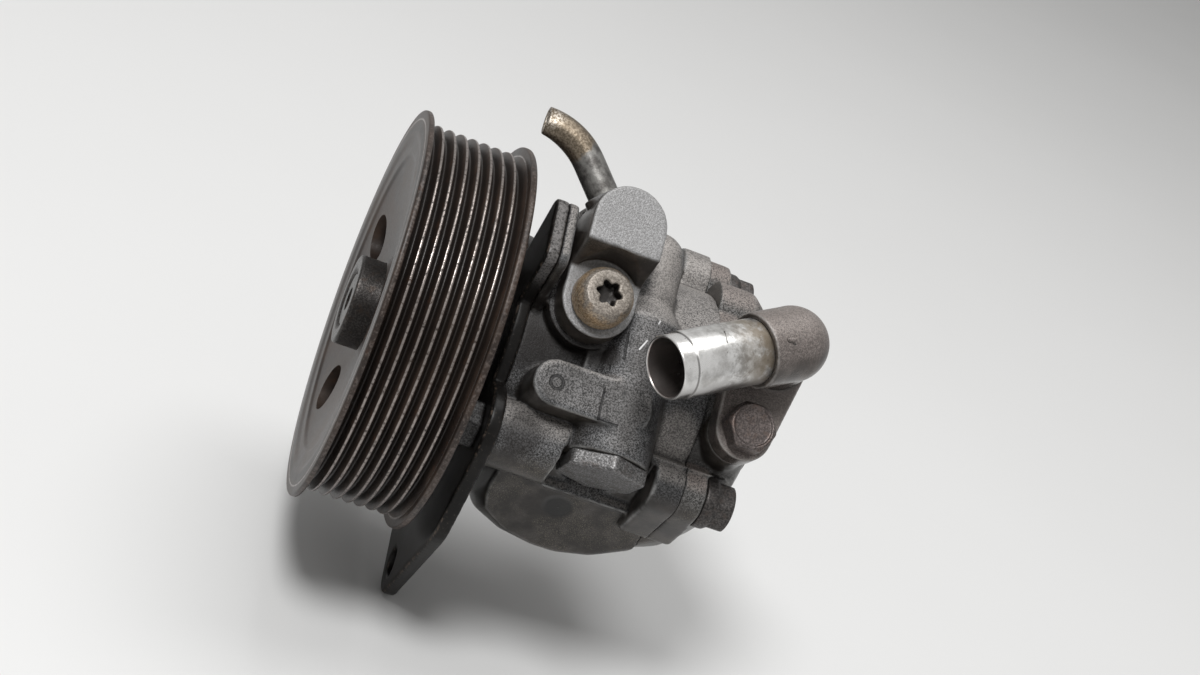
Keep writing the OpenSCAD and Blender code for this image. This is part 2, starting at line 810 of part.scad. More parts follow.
// Rotor set
dowel_r = 2;
dowel_ring_r = (cam_min_r + cam_d / 2) / 2 + 0.8;
kidney_arc = 44;
module plate_spring() {
    color([0.4, 0.4, 0.41])
    turned()
        polygon([
            [passage_r + 4, chamber_front],
            [passage_r + 5, chamber_front],
            [passage_r + 13, front_plate_x - 0.7],
            [passage_r + 13, front_plate_x],
            [passage_r + 12, front_plate_x],
            [passage_r + 4, chamber_front + 0.7]
        ]);
}
module dowel_places() {
    for (angle = [0, 180]) at_polar(dowel_ring_r, angle) children();
}
module kidneys(x0, x1) {
    for (start = [45, 225])
        rotate([start, 0, 0])
            translate([x0, 0, 0]) rotate([0, 90, 0])
                rotate_extrude(angle = kidney_arc) translate([rotor_r - 2, 0]) square([3, x1 - x0]);
}
module side_plate(x0, x1, hole_r) {
    difference() {
        along_x(x0, x1, cam_d / 2);
        along_x(x0 - past, x1 + past, hole_r);
        dowel_places() along_x(x0 - past, x1 + past, dowel_r + seat_fit);
        kidneys(x0 - past, x1 + past);
    }
}
module front_side_plate() {
    color([0.5, 0.49, 0.47]) side_plate(front_plate_x, cam_front, shaft_r + 0.6);
}
module rear_side_plate() {
    color([0.5, 0.49, 0.47]) side_plate(cam_back, chamber_back, tail_d / 2 + 0.6);
}
cam_points = [
    for (t = [0:5:355])
        (cam_min_r + (cam_max_r - cam_min_r) * (1 - cos(2 * t)) / 2) * [cos(t), sin(t)]
];
module cam_ring() {
    color([0.42, 0.42, 0.43])
    difference() {
        along_x(cam_front, cam_back, cam_d / 2);
        upright(cam_front - past, cam_w + 2 * past) polygon(cam_points);
        dowel_places() along_x(cam_front - past, cam_back + past, dowel_r + seat_fit);
    }
}
module plate_dowels() {
    color([0.6, 0.6, 0.6]) dowel_places() along_x(front_plate_x + 0.5, chamber_back - 0.5, dowel_r);
}
vane_count = 10;
vane_tip_r = cam_min_r - case_fit;
vane_foot_r = vane_tip_r - vane_h;
vane_stroke = vane_tip_r - rotor_r;
slot_foot_r = vane_foot_r - vane_stroke - 0.3;
module rotor() {
    color([0.5, 0.5, 0.51])
    difference() {
        along_x(cam_front + run_fit, cam_back - run_fit, rotor_r);
        along_x(cam_front - past, cam_back + past, spline_root_r + seat_fit);
        splines(run_fit, -past);
        for (k = [1:vane_count])
            rotate([360 / vane_count * k, 0, 0])
                translate([cam_front - past, slot_foot_r, -vane_t / 2 - run_fit])
                    cube([cam_w + 2 * past, rotor_r, vane_t + 2 * run_fit]);
    }
}
module vane(k) {
    color([0.66, 0.66, 0.67])
    rotate([360 / vane_count * k, 0, 0])
        translate([cam_front + run_fit, vane_foot_r, -vane_t / 2])
            cube([cam_w - 2 * run_fit, vane_h, vane_t]);
}
module rear_bush() {
    color([0.55, 0.4, 0.2])
        ring_x(chamber_back, chamber_back + bush_l, tail_d / 2 + 1.5 - seat_fit, tail_d / 2 + run_fit);
}

// Control valve
spool_foot = spool_rest - spool_l;
spool_cup_top = spool_foot + spool_cup_l;
module valve_spool() {
    land = spool_l * 0.3;
    color([0.6, 0.6, 0.61])
    ports()
        difference() {
            union() {
                along_b(valve_x, valve_out, spool_foot, spool_foot + land, valve_d / 2 - 0.03);
                along_b(valve_x, valve_out, spool_rest - land, spool_rest, valve_d / 2 - 0.03);
                along_b(valve_x, valve_out, spool_foot, spool_rest, valve_d / 2 - 0.6);
            }
            along_b(valve_x, valve_out, spool_foot - past, spool_cup_top, spool_cup_r);
        }
}
function coil_point(t, r, rise) =
    let (turn = 360 * spring_turns * t)
    [r * cos(turn), r * sin(turn), rise * t];
module coil(r, wire, rise) {
    sides = 8;
    steps = spring_turns * 20;
    points = [
        for (i = [0:steps]) let (t = i / steps, turn = 360 * spring_turns * t) for (j = [0:sides - 1])
            coil_point(t, r, rise)
                + wire / 2 * cos(360 * j / sides) * [cos(turn), sin(turn), 0]
                + wire / 2 * sin(360 * j / sides) * [0, 0, 1]
    ];
    walls = [
        for (i = [0:steps - 1]) for (j = [0:sides - 1])
            [
                i * sides + j, i * sides + (j + 1) % sides,
                (i + 1) * sides + (j + 1) % sides, (i + 1) * sides + j
            ]
    ];
    first = [for (j = [0:sides - 1]) sides - 1 - j];
    last = [for (j = [0:sides - 1]) steps * sides + j];
    polyhedron(points, concat([first, last], walls), convexity = 10);
}
module valve_spring() {
    foot = plug_inner + spring_wire / 2 + run_fit;
    head = spool_cup_top - spring_wire / 2 - run_fit;
    color([0.5, 0.5, 0.52])
    ports()
        translate([valve_x, foot, valve_out]) rotate([-90, 0, 0])
            coil(spool_cup_r - spring_wire / 2 - 0.3, spring_wire, head - foot);
}
plug_ring_d = 1.8;
plug_turn = 30;
module valve_plug() {
    color([0.17, 0.165, 0.16])
    ports()
        translate([valve_x, -plug_drop, valve_out]) rotate([90, 0, 0]) {
            rotate([0, 0, plug_turn]) hex_head(plug_af, plug_h);
            difference() {
                translate([0, 0, -plug_thread_l]) cylinder(h = plug_thread_l, r = plug_thread_r);
                translate([0, 0, -plug_ring_d])
                    washer(4 * plug_thread_r, 2 * plug_thread_r - 2 * plug_ring_d, plug_ring_d);
            }
        }
}
module plug_o_ring() {
    ring_r = plug_thread_r - plug_ring_d / 2;
    color([0.05, 0.05, 0.05])
    ports()
        translate([valve_x, -plug_drop + plug_ring_d / 2, valve_out]) rotate([90, 0, 0])
            torus(ring_r, plug_ring_d);
}

// Pressure union with its bolt and the cut pipe
scoop_r = union_r + 1.2;
union_ring_d = 1.8;
bevel_low = union_bolt_b + 7.5;
bevel_high = union_bolt_b + 11.9;
port_end = port_b + union_r + past;
spigot_in = port_r - case_fit;
module union_side() {
    polygon([
        [union_bolt_b - union_r - past, port_face],
        [port_end, port_face],
        [port_end, union_top],
        [bevel_high, union_top],
        [bevel_low, union_seat],
        [union_bolt_b - union_r - past, union_seat]
    ]);
}
// The pipe's own direction from the port, drawn along Z
module along_pipe(start) {
    translate([port_x, port_b, pipe_out]) rotate([0, 0, pipe_heading]) rotate([0, 90, 0])
        translate([0, 0, start]) children();
}
module pressure_union() {
    color([0.36, 0.36, 0.365])
    ports()
        difference() {
            union() {
                intersection() {
                    stadium_n(port_x, union_bolt_b, port_x, port_b, port_face, union_top, union_r);
                    upright(port_x - union_r, 2 * union_r) union_side();
                }
                along_n(port_x, port_b, port_face - 7, port_face + past, spigot_in);
                along_pipe(0) cylinder(h = union_r + 0.6, d = pipe_d + 2.6);
            }
            along_n(port_x, union_bolt_b, union_seat, union_top + past, scoop_r);
            along_n(port_x, union_bolt_b, port_face - past, union_top, union_bolt_d / 2 + 0.3);
            along_n(port_x, port_b, port_face - 8, pipe_out, 2.5);
            along_pipe(4) cylinder(h = union_r * 2, d = pipe_d + 2 * case_fit);
            along_pipe(0) cylinder(h = 5, r = 2.5);
            translate([port_x, port_b, port_face - 5])
                washer(2 * port_r + 2, 2 * spigot_in - 2 * union_ring_d, union_ring_d);
        }
}
module union_o_ring() {
    color([0.05, 0.05, 0.05])
    ports()
        translate([port_x, port_b, port_face - 5 + union_ring_d / 2])
            torus(spigot_in - union_ring_d / 2, union_ring_d);
}
union_head_h = 8.6;
recess_r = 3.9;
recess_lobe = 1.15;
module pan_profile() {
    r = union_bolt_head_d / 2;
    polygon(concat(
        [[0, 0], [r - 0.6, 0], [r, 0.6]],
        [for (t = [0:9:63]) [r * 0.52 + r * 0.48 * cos(t), 3.4 + (union_head_h - 3.4) * sin(t) / sin(63)]],
        [[0, union_head_h]]
    ));
}
module union_bolt() {
    color([0.42, 0.29, 0.17])
    ports()
        translate([port_x, union_bolt_b, union_seat])
            difference() {
                union() {
                    rotate_extrude() pan_profile();
                    translate([0, 0, -union_bolt_l])
                        cylinder(h = union_bolt_l, d = union_bolt_d - 2 * bolt_grip);
                }
                translate([0, 0, union_head_h - 4]) {
                    cylinder(h = 5, r = recess_r - recess_lobe);
                    for (k = [0:5])
                        rotate([0, 0, 60 * k]) translate([recess_r - recess_lobe, 0, 0])
                            cylinder(h = 5, r = recess_lobe * 0.85);
                }
            }
}

// The pipe leaves the port straight, bends, and ends where it was cut and pinched flat
pipe_steps = 22;
pipe_sides = 24;
pinch_from = 0.62;
pipe_start = 4.2;
pipe_arc_l = pipe_bend_r * pipe_turn * PI / 180;
pipe_l = pipe_straight - pipe_start + pipe_arc_l;
function heading_at(s) =
    pipe_heading + (s <= pipe_straight ? 0 : (s - pipe_straight) / pipe_bend_r * 180 / PI);
function pipe_point(s) =
    let (
        far = max(0, s - pipe_straight),
        turn = far / pipe_bend_r * 180 / PI,
        straight = min(s, pipe_straight)
    )
    [port_x, port_b, pipe_out]
        + straight * [cos(pipe_heading), sin(pipe_heading), 0]
        + pipe_bend_r * [
            sin(pipe_heading + turn) - sin(pipe_heading),
            cos(pipe_heading) - cos(pipe_heading + turn),
            0
        ];
function pinch_at(u) = u < pinch_from ? 0 : pow((u - pinch_from) / (1 - pinch_from), 2);
module pipe_tube(r, squeezed, past_end) {
    points = [
        for (i = [0:pipe_steps])
            let (
                u = i / pipe_steps,
                s = pipe_start - past_end + u * (pipe_l + 2 * past_end),
                flat = 1 - squeezed * pinch_at(u),
                wide = 1 - 0.06 * pinch_at(u),
                side = [cos(heading_at(s) + 90), sin(heading_at(s) + 90), 0]
            )
            for (j = [0:pipe_sides - 1])
                let (angle = 360 * j / pipe_sides)
                pipe_point(s) + r * wide * cos(angle) * side + r * flat * sin(angle) * [0, 0, 1]
    ];
    walls = [
        for (i = [0:pipe_steps - 1]) for (j = [0:pipe_sides - 1])
            [
                i * pipe_sides + j, (i + 1) * pipe_sides + j,
                (i + 1) * pipe_sides + (j + 1) % pipe_sides, i * pipe_sides + (j + 1) % pipe_sides
            ]
    ];
    first = [for (j = [0:pipe_sides - 1]) j];
    last = [for (j = [0:pipe_sides - 1]) (pipe_steps + 1) * pipe_sides - 1 - j];
    polyhedron(points, concat([first, last], walls), convexity = 6);
}
module pressure_pipe() {
    color([0.3, 0.28, 0.26])
    ports()
        difference() {
            pipe_tube(pipe_d / 2, 0.4, 0);
            pipe_tube(pipe_d / 2 - pipe_wall, 0.72, past);
        }
}

// Suction elbow, cast with its flange, and the tube pressed into it
module along_tube(start) {
    translate([suction_x, suction_b, elbow_out]) rotate([0, 0, tube_azimuth]) rotate([0, 90 - tube_lift, 0])
        translate([0, 0, start]) children();
}
suction_ring_d = 2;
tube_end_r = tube_d / 2 - 0.5;
socket_step = 0.6;
elbow_lug_r = elbow_boss_r + 0.3;
module elbow_flange_outline() {
    hull() {
        disc_at([suction_x, suction_b], suction_boss_r);
        disc_at([elbow_bolt_x, elbow_bolt_b], elbow_lug_r);
    }
}
module suction_elbow() {
    color([0.33, 0.32, 0.31])
    ports()
        difference() {
            union() {
                translate([0, 0, port_face]) linear_extrude(elbow_flange_t) elbow_flange_outline();
                along_n(suction_x, suction_b, port_face, elbow_out, elbow_r);
                translate([suction_x, suction_b, elbow_out]) sphere(r = elbow_r + case_fit);
                along_tube(0) cylinder(h = elbow_sleeve, r = elbow_r);
                along_n(suction_x, suction_b, port_face - spigot_l, port_face + past, spigot_r - seat_fit);
            }
            along_n(suction_x, suction_b, port_face - spigot_l - past, elbow_out, spigot_r - 2.5);
            along_tube(0) cylinder(h = tube_seat + past, r = tube_d / 2 - tube_wall - socket_step);
            along_tube(tube_seat) cylinder(h = elbow_sleeve, r = tube_end_r + seat_fit);
            along_n(elbow_bolt_x, elbow_bolt_b, port_face - past, elbow_out, bolt_d / 2 + 0.3);
            translate([suction_x, suction_b, port_face - 4.5])
                washer(2 * spigot_r + 2, 2 * spigot_r - 2 * suction_ring_d, suction_ring_d);
        }
}
lip_l = 4.5;
lip_step = 0.4;
tube_shoulder = elbow_sleeve + case_fit;
module suction_tube() {
    color([0.72, 0.72, 0.72])
    ports()
        along_tube(0)
            difference() {
                union() {
                    translate([0, 0, tube_seat]) cylinder(h = elbow_sleeve, r = tube_end_r);
                    translate([0, 0, tube_shoulder])
                        cylinder(h = tube_reach - lip_l - tube_shoulder, d = tube_d);
                    translate([0, 0, tube_reach - lip_l - past])
                        cylinder(h = lip_l + past, r = tube_d / 2 - lip_step);
                }
                translate([0, 0, tube_seat - past])
                    cylinder(h = tube_reach - tube_seat + 2 * past, r = tube_d / 2 - tube_wall);
            }
}
module suction_o_ring() {
    color([0.05, 0.05, 0.05])
    ports()
        translate([suction_x, suction_b, port_face - 4.5 + suction_ring_d / 2])
            torus(spigot_r - suction_ring_d / 2, suction_ring_d);
}
module elbow_bolt() {
    color([0.2, 0.19, 0.18])
    ports()
        translate([elbow_bolt_x, elbow_bolt_b, port_face + elbow_flange_t])
            hex_bolt(bolt_head_af, bolt_head_h + 0.7, bolt_shank_d, elbow_bolt_l);
}

pulley();
pulley_hub();
drive_shaft();
shaft_snap_ring();
bearing_outer_race();
bearing_inner_race();
bearing_balls();
bearing_cage();
bearing_circlip();
shaft_seal();
mounting_plate();
plate_screws();
pump_housing();
rear_cover();
cover_bolts();
cover_o_ring();
plate_spring();
front_side_plate();
cam_ring();
rear_side_plate();
plate_dowels();
rotor();
vane(1);  // vane_1
vane(2);  // vane_2
vane(3);  // vane_3
vane(4);  // vane_4
vane(5);  // vane_5
vane(6);  // vane_6
vane(7);  // vane_7
vane(8);  // vane_8
vane(9);  // vane_9
vane(10);  // vane_10
rear_bush();
valve_spool();
valve_spring();
valve_plug();
plug_o_ring();
pressure_union();
union_o_ring();
union_bolt();
pressure_pipe();
suction_elbow();
suction_tube();
suction_o_ring();
elbow_bolt();
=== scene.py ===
import math

import bmesh
import bpy
import numpy as np
from mathutils import Matrix, Vector


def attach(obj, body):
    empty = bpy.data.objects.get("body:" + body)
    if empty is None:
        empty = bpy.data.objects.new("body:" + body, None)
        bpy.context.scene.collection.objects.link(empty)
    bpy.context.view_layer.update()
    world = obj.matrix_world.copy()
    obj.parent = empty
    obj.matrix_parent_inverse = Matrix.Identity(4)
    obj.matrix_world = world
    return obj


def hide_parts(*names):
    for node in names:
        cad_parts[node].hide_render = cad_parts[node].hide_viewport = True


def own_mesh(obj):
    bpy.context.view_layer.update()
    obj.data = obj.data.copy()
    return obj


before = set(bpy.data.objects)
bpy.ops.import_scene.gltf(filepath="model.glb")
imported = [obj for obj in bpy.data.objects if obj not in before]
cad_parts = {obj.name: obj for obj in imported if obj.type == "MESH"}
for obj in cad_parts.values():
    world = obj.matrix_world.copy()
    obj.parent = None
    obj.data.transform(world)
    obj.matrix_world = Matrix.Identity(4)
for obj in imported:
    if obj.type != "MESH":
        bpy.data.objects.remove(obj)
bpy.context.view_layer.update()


# Pump housing: the aluminium casting that carries everything else, with the valve boss and the two
# port pads cast on. Its skin is as cast, dark with soot and old oil, with painted light on its upper faces
# and in patches and painted shadow in others; only joint faces and bores are machined. The plate, the
# cover, the union and the valve plug are screwed to it.
MM = 0.001
SPLIT_X = 82.54
PLATE_BACK = 26.54
PORT_FACE = 38.0
CHAMBER_REACH = 30.3
CHAMBER_FRONT = 71.5
NOSE_REACH = 20.4
NOSE_OUT = 21
VALVE_X = 59.04
VALVE_OUT = 30
VALVE_REACH = 8.3
HELD = 0.03
JOINT_HELD = 0.06
JOINT_BAND = 1.6
HALF = math.sqrt(0.5)


def at_port(x, along, out):
    """A place in the rolled frame of the ports: along the valve, and out of the port faces."""
    return Vector((x, HALF * (along - out), HALF * (along + out)))


def skin_of(node):
    """A copy of a solid's own mesh, its faces joined at their edges."""
    skin = bpy.data.objects.new(node + "_skin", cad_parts[node].data.copy())
    bpy.context.scene.collection.objects.link(skin)
    shape = bmesh.new()
    shape.from_mesh(skin.data)
    bmesh.ops.remove_doubles(shape, verts=shape.verts, dist=1e-6)
    shape.to_mesh(skin.data)
    shape.free()
    return skin


def rounded(skin, grid, passes, hold=None, most=50000):
    """The shape on a fine grid, its corners worn round; it notes where edges rub and where its hollows lie.
    """
    lattice = skin.modifiers.new("lattice", "REMESH")
    lattice.mode = "VOXEL"
    lattice.voxel_size = grid * MM
    settle(skin)
    mesh = skin.data
    count = len(mesh.vertices)
    spots = np.empty(count * 3)
    mesh.vertices.foreach_get("co", spots)
    spots = spots.reshape(-1, 3) / MM
    facing = np.empty(count * 3)
    mesh.vertices.foreach_get("normal", facing)
    facing = facing.reshape(-1, 3)
    ends = np.empty(len(mesh.edges) * 2, int)
    mesh.edges.foreach_get("vertices", ends)
    one, two = ends.reshape(-1, 2).T
    share = np.bincount(one, minlength=count) + np.bincount(two, minlength=count)
    loose = 0.5 * (np.ones(count) if hold is None else hold(spots))
    sharp = spots.copy()
    for _ in range(passes):
        middle = np.stack([
            np.bincount(one, spots[two, k], count) + np.bincount(two, spots[one, k], count)
            for k in range(3)
        ], axis=1) / share[:, None]
        spots += (middle - spots) * loose[:, None]
    sunk = ((sharp - spots) * facing).sum(1)
    mesh.vertices.foreach_set("co", (spots * MM).ravel())
    for name, amount in (("rub", (sunk - 0.06) / 0.3), ("hollows", (-sunk - 0.04) / 0.25)):
        mesh.attributes.new(name, "FLOAT", "POINT").data.foreach_set("value", np.clip(amount, 0, 1))
    faces = sum(len(p.vertices) - 2 for p in mesh.polygons)
    if faces > most:
        fewer = skin.modifiers.new("fewer", "DECIMATE")
        fewer.ratio = most / faces
        settle(skin)
    skin.data.polygons.foreach_set("use_smooth", [True] * len(skin.data.polygons))
    return skin


def settle(thing):
    """Makes a piece's modifiers part of its mesh."""
    bpy.context.view_layer.update()
    done = thing.evaluated_get(bpy.context.evaluated_depsgraph_get())
    mesh = bpy.data.meshes.new_from_object(done)
    thing.modifiers.clear()
    thing.data = mesh


def new_finish(name):
    made = bpy.data.materials.new(name)
    made.use_nodes = True
    return made, made.node_tree, made.node_tree.nodes["Principled BSDF"]


def step(tree, kind, feeds=(), **settings):
    """One shader node with its settings; a feed is a plain value or another node's output."""
    made = tree.nodes.new("ShaderNode" + kind)
    for key, value in settings.items():
        setattr(made, key, value)
    for key, value in dict(feeds).items():
        if isinstance(value, bpy.types.NodeSocket):
            tree.links.new(value, made.inputs[key])
        else:
            made.inputs[key].default_value = value
    return made


def grain(tree, place, per_mm, detail=3.0, rough=0.6):
    feeds = {"Vector": place, "Scale": per_mm / MM, "Detail": detail, "Roughness": rough}
    return step(tree, "TexNoise", feeds).outputs[0]


def band(tree, value, low, high):
    feeds = {"Value": value, "From Min": low, "From Max": high}
    return step(tree, "MapRange", feeds, interpolation_type="SMOOTHSTEP").outputs[0]


def sums(tree, how, first, second=0.0):
    return step(tree, "Math", {0: first, 1: second}, operation=how).outputs[0]


def times(tree, first, second):
    return sums(tree, "MULTIPLY", first, second)


def vector(tree, how, first, second=(0, 0, 0), out=0):
    """A sum with places or directions; one that gives a plain number has it at "Value"."""
    return step(tree, "VectorMath", {0: first, 1: second}, operation=how).outputs[out]


def about(tree, place, centre, axis):
    """Where the surface lies about an axis: how far along it, and how far out from it."""
    off = vector(tree, "SUBTRACT", place, tuple(Vector(centre) * MM))
    along = vector(tree, "DOT_PRODUCT", off, tuple(axis), "Value")
    square = vector(tree, "CROSS_PRODUCT", off, tuple(axis))
    return along, vector(tree, "LENGTH", square, out="Value")


def tint(tree, share, under, over):
    """Colour over another by a share; plain colours are three numbers."""
    def full(colour):
        return (*colour, 1) if isinstance(colour, tuple) else colour
    feeds = {0: share, 6: full(under), 7: full(over)}
    return step(tree, "Mix", feeds, data_type="RGBA").outputs[2]


def between(tree, share, low, high):
    feeds = {"Value": share, "To Min": low, "To Max": high}
    return step(tree, "MapRange", feeds).outputs[0]


def relief(tree, height, depth, strength=1.0, under=None):
    feeds = {"Height": height, "Distance": depth * MM, "Strength": strength}
    if under is not None:
        feeds["Normal"] = under
    return step(tree, "Bump", feeds).outputs[0]


def connect(tree, shader, **outputs):
    for key, value in outputs.items():
        tree.links.new(value, shader.inputs[key.replace("_", " ")])


def stroke(tree, place, start, end, width):
    """1 along a short straight mark on the surface, 0 away from it; places and width in mm."""
    start, end = Vector(start) * MM, Vector(end) * MM
    run = end - start
    off = vector(tree, "SUBTRACT", place, tuple(start))
    along = vector(tree, "DOT_PRODUCT", off, tuple(run / run.length_squared), "Value")
    along = step(tree, "Clamp", {"Value": along}).outputs[0]
    scaled = step(tree, "VectorMath", {0: tuple(run), "Scale": along}, operation="SCALE").outputs[0]
    away = vector(tree, "LENGTH", vector(tree, "SUBTRACT", off, scaled), out="Value")
    return band(tree, away, width * MM, width * MM * 0.45)


def round_mark(tree, place, centre, axis, radius, width):
    """1 on a ring struck into a face, 0 away from it."""
    depth, reach = about(tree, place, centre, Vector(axis).normalized())
    gap = sums(tree, "ABSOLUTE", sums(tree, "SUBTRACT", reach, radius * MM))
    level = sums(tree, "ABSOLUTE", depth)
    ring = band(tree, gap, width * MM, width * MM * 0.4)
    return times(tree, ring, band(tree, level, 2 * MM, 1.5 * MM))


def sooty_casting(name, soot, skin_tone, bare, dust, oil_tone=(0.022, 0.019, 0.017),
                  edge=0.3, gloss=(0.28, 0.52), seams=(), rings=(), nicks=(), lit_patches=(), shadow_and_soot=()):
    """Cast aluminium: dry and speckled where it looks up, with painted light from above; dark and glossy
    with oil where it looks down, partly painted shade.
    """
    made, tree, shader = new_finish(name)
    spot = step(tree, "TexCoord")
    place = spot.outputs["Object"]
    sand = grain(tree, place, 2.1, 2.0, 0.8)
    fine = grain(tree, place, 4.6, 1.0, 0.5)
    cloud = grain(tree, place, 0.055, 5.0, 0.62)
    drift = grain(tree, place, 0.16, 4.0, 0.6)
    rub = step(tree, "Attribute", attribute_name="rub").outputs["Fac"]
    hollows = step(tree, "Attribute", attribute_name="hollows").outputs["Fac"]
    looks_up = vector(tree, "DOT_PRODUCT", spot.outputs["Normal"], (0, -0.3, 0.954), "Value")
    dry_and_lit = sums(tree, "ADD", looks_up, between(tree, drift, -0.4, 0.4))
    dry_and_lit = band(tree, dry_and_lit, 0.0, 0.75)
    level = step(tree, "SeparateXYZ", {0: spot.outputs["Normal"]}).outputs["Z"]
    # Painted light: faces turned up are tinted toward the pale dust tone.
    paler_on_top = times(tree, band(tree, level, 0.6, 0.92), band(tree, sand, 0.3, 0.6))
    speck = band(tree, sand, 0.42, 0.62)
    colour = tint(tree, speck, soot, skin_tone)
    sparkle = times(tree, band(tree, fine, 0.58, 0.74), band(tree, cloud, 0.36, 0.58))
    colour = tint(tree, times(tree, sparkle, 0.5), colour, bare)
    colour = tint(tree, times(tree, band(tree, cloud, 0.56, 0.38), 0.55), colour, soot)
    colour = tint(tree, times(tree, paler_on_top, 0.7), colour, dust)
    def patch(centre, radius):
        away = vector(tree, "DISTANCE", place, tuple(Vector(centre) * MM), "Value")
        ragged = sums(tree, "ADD", away, between(tree, drift, -3 * MM, 3 * MM))
        return band(tree, ragged, radius * MM, radius * 0.4 * MM)
    # Painted light: patches of the surface lifted toward the pale tone.
    for centre, radius in lit_patches:
        painted_light_patch = times(tree, patch(centre, radius), between(tree, speck, 0.3, 0.9))
        colour = tint(tree, painted_light_patch, colour, dust)
    oily = tint(tree, band(tree, drift, 0.4, 0.66), oil_tone, tuple(2.2 * c for c in oil_tone))
    loose_dirt = times(tree, band(tree, fine, 0.55, 0.68), band(tree, cloud, 0.46, 0.62))
    oily = tint(tree, times(tree, loose_dirt, 0.8), oily, (0.17, 0.15, 0.115))
    # Painted light and shade, partly oil: faces that look up keep the dry colour, faces that look down go
    # over to the dark oily tone.
    colour = tint(tree, dry_and_lit, oily, colour)
    # Painted shadow with soot: patches darkened nearly to black.
    for centre, radius, share in shadow_and_soot:
        colour = tint(tree, times(tree, patch(centre, radius), share), colour, (0.013, 0.0105, 0.0095))
    worn = times(tree, rub, band(tree, drift, edge, edge + 0.32))
    colour = tint(tree, times(tree, worn, 0.5), colour, bare)
    # Darker in the hollows of the surface.
    colour = tint(tree, times(tree, hollows, 0.8), colour, (0.012, 0.0105, 0.0095))
    height = relief(tree, sand, 0.3, between(tree, dry_and_lit, 0.1, 0.55))
    marks = [stroke(tree, place, *seam) for seam in seams]
    marks += [round_mark(tree, place, *ring) for ring in rings]
    for mark in marks:
        colour = tint(tree, times(tree, mark, 0.8), colour, (0.01, 0.01, 0.01))
        height = relief(tree, mark, -0.4, 0.9, height)
    for nick in nicks:
        colour = tint(tree, stroke(tree, place, *nick), colour, (0.62, 0.62, 0.62))
    shader.inputs["Metallic"].default_value = 0.3
    connect(tree, shader, Base_Color=colour, Roughness=between(tree, dry_and_lit, *gloss), Normal=height)
    return made


def dress(thing, finish, body, slot, *nodes):
    """Gives a piece its finish, the body that it moves with and the solids that it stands for."""
    thing.data.materials.clear()
    thing.data.materials.append(finish)
    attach(thing, body)
    if nodes:
        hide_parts(*nodes)


def housing_hold(spots):
    """Machined faces and bores stay as they are cut; the cast skin goes round."""
    x, y, z = spots.T
    out = HALF * (z - y)
    along = HALF * (z + y)
    near_joint = np.minimum(abs(x - SPLIT_X), abs(x - PLATE_BACK))
    keep = np.clip(near_joint / JOINT_BAND, JOINT_HELD, 1)
    pad = (abs(out - PORT_FACE) < 0.9) & (along > -6)
    keep[pad] = np.minimum(keep[pad], 0.25)
    reach = np.hypot(y, z)
    keep[(reach < CHAMBER_REACH) & (x > CHAMBER_FRONT)] = HELD
    keep[(reach < NOSE_REACH) & (out < NOSE_OUT)] = HELD
    keep[np.hypot(x - VALVE_X, out - VALVE_OUT) < VALVE_REACH] = HELD
    return keep


housing = rounded(skin_of("pump_housing"), grid=0.5, passes=13, hold=housing_hold, most=165000)
housing_cast = sooty_casting(
    "housing_cast", soot=(0.011, 0.0108, 0.011), skin_tone=(0.162, 0.161, 0.165),
    bare=(0.42, 0.42, 0.415), dust=(0.36, 0.335, 0.315),
    seams=[
        ((53.56, -26.45, 31.85), (54.04, -31.83, 26.78), 0.4),
        ((51.16, -32.49, 23.65), (50.79, -40.24, 19.16), 0.4),
        ((50.79, -40.24, 19.16), (51.07, -45.75, 13.64), 0.4),
        ((51.07, -45.75, 13.64), (56.44, -45.79, 13.92), 0.45),
    ],
    rings=[
        (at_port(37.34, -16.4, 42), (0, -HALF, HALF), 1.8, 0.55),
        ((55.85, -33.63, -23.64), (0, -0.968, -0.252), 2.0, 3.4),
    ],
    nicks=[
        ((61.0, -23.4, 36.5), (61.3, -22.7, 37.1), 0.3),
        ((58.9, -27.6, 32.4), (57.4, -29.7, 30.2), 0.3),
    ],
    # Patches of painted light, lifted toward the pale tone:
    lit_patches=[
        ((58.3, -4.4, 50.0), 9), ((62.6, -8.1, 45.2), 9), ((63.4, -13.0, 39.7), 9),
        ((80.0, 18.4, 34.2), 16), ((76.5, -35.2, 10.5), 10),
    ],
    # Patches of painted shadow with soot, beside the plate and below the union's flange:
    shadow_and_soot=[
        ((28.0, -23.0, 23.5), 12, 0.85), ((29.5, -27.5, 18.0), 9, 0.8), ((37.0, -26.0, 20.5), 9, 0.8),
        ((45.5, -28.1, 23.5), 6.5, 0.85), ((50.5, -30.5, 25.0), 4.5, 0.8), ((33.0, -46.5, 2.0), 9, 0.7),
    ],
)
dress(housing, housing_cast, "housing", "cast_housing", "pump_housing")


# Shaft bearing: a ball bearing with a pressed bronze cage, held in the nose by a circlip, and a rubber
# lip seal behind it. Races and balls are hardened, ground steel; all of it sits inside the casting.
def plain_metal(name, colour, rough, metal=1.0, scratch=0.35, lines=(1, 1, 1)):
    """Machined metal: fine tool lines, a cloudy oil film and a little uneven gloss."""
    made, tree, shader = new_finish(name)
    place = step(tree, "TexCoord").outputs["Object"]
    marks = grain(tree, vector(tree, "MULTIPLY", place, lines), 1.6, 3.0, 0.6)
    cloud = grain(tree, place, 0.12, 4.0, 0.6)
    shade = tuple(c * 0.55 for c in colour)
    connect(tree, shader, Base_Color=tint(tree, between(tree, cloud, 0.9, 0.0), colour, shade),
            Roughness=between(tree, marks, rough - 0.1, rough + 0.14),
            Normal=relief(tree, marks, 0.05, scratch))
    shader.inputs["Metallic"].default_value = metal
    return made


def finish_nodes(finish, *names):
    """Puts a finish on solids that are shown as they are."""
    for name in names:
        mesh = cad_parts[name].data
        mesh.materials.clear()
        mesh.materials.append(finish)


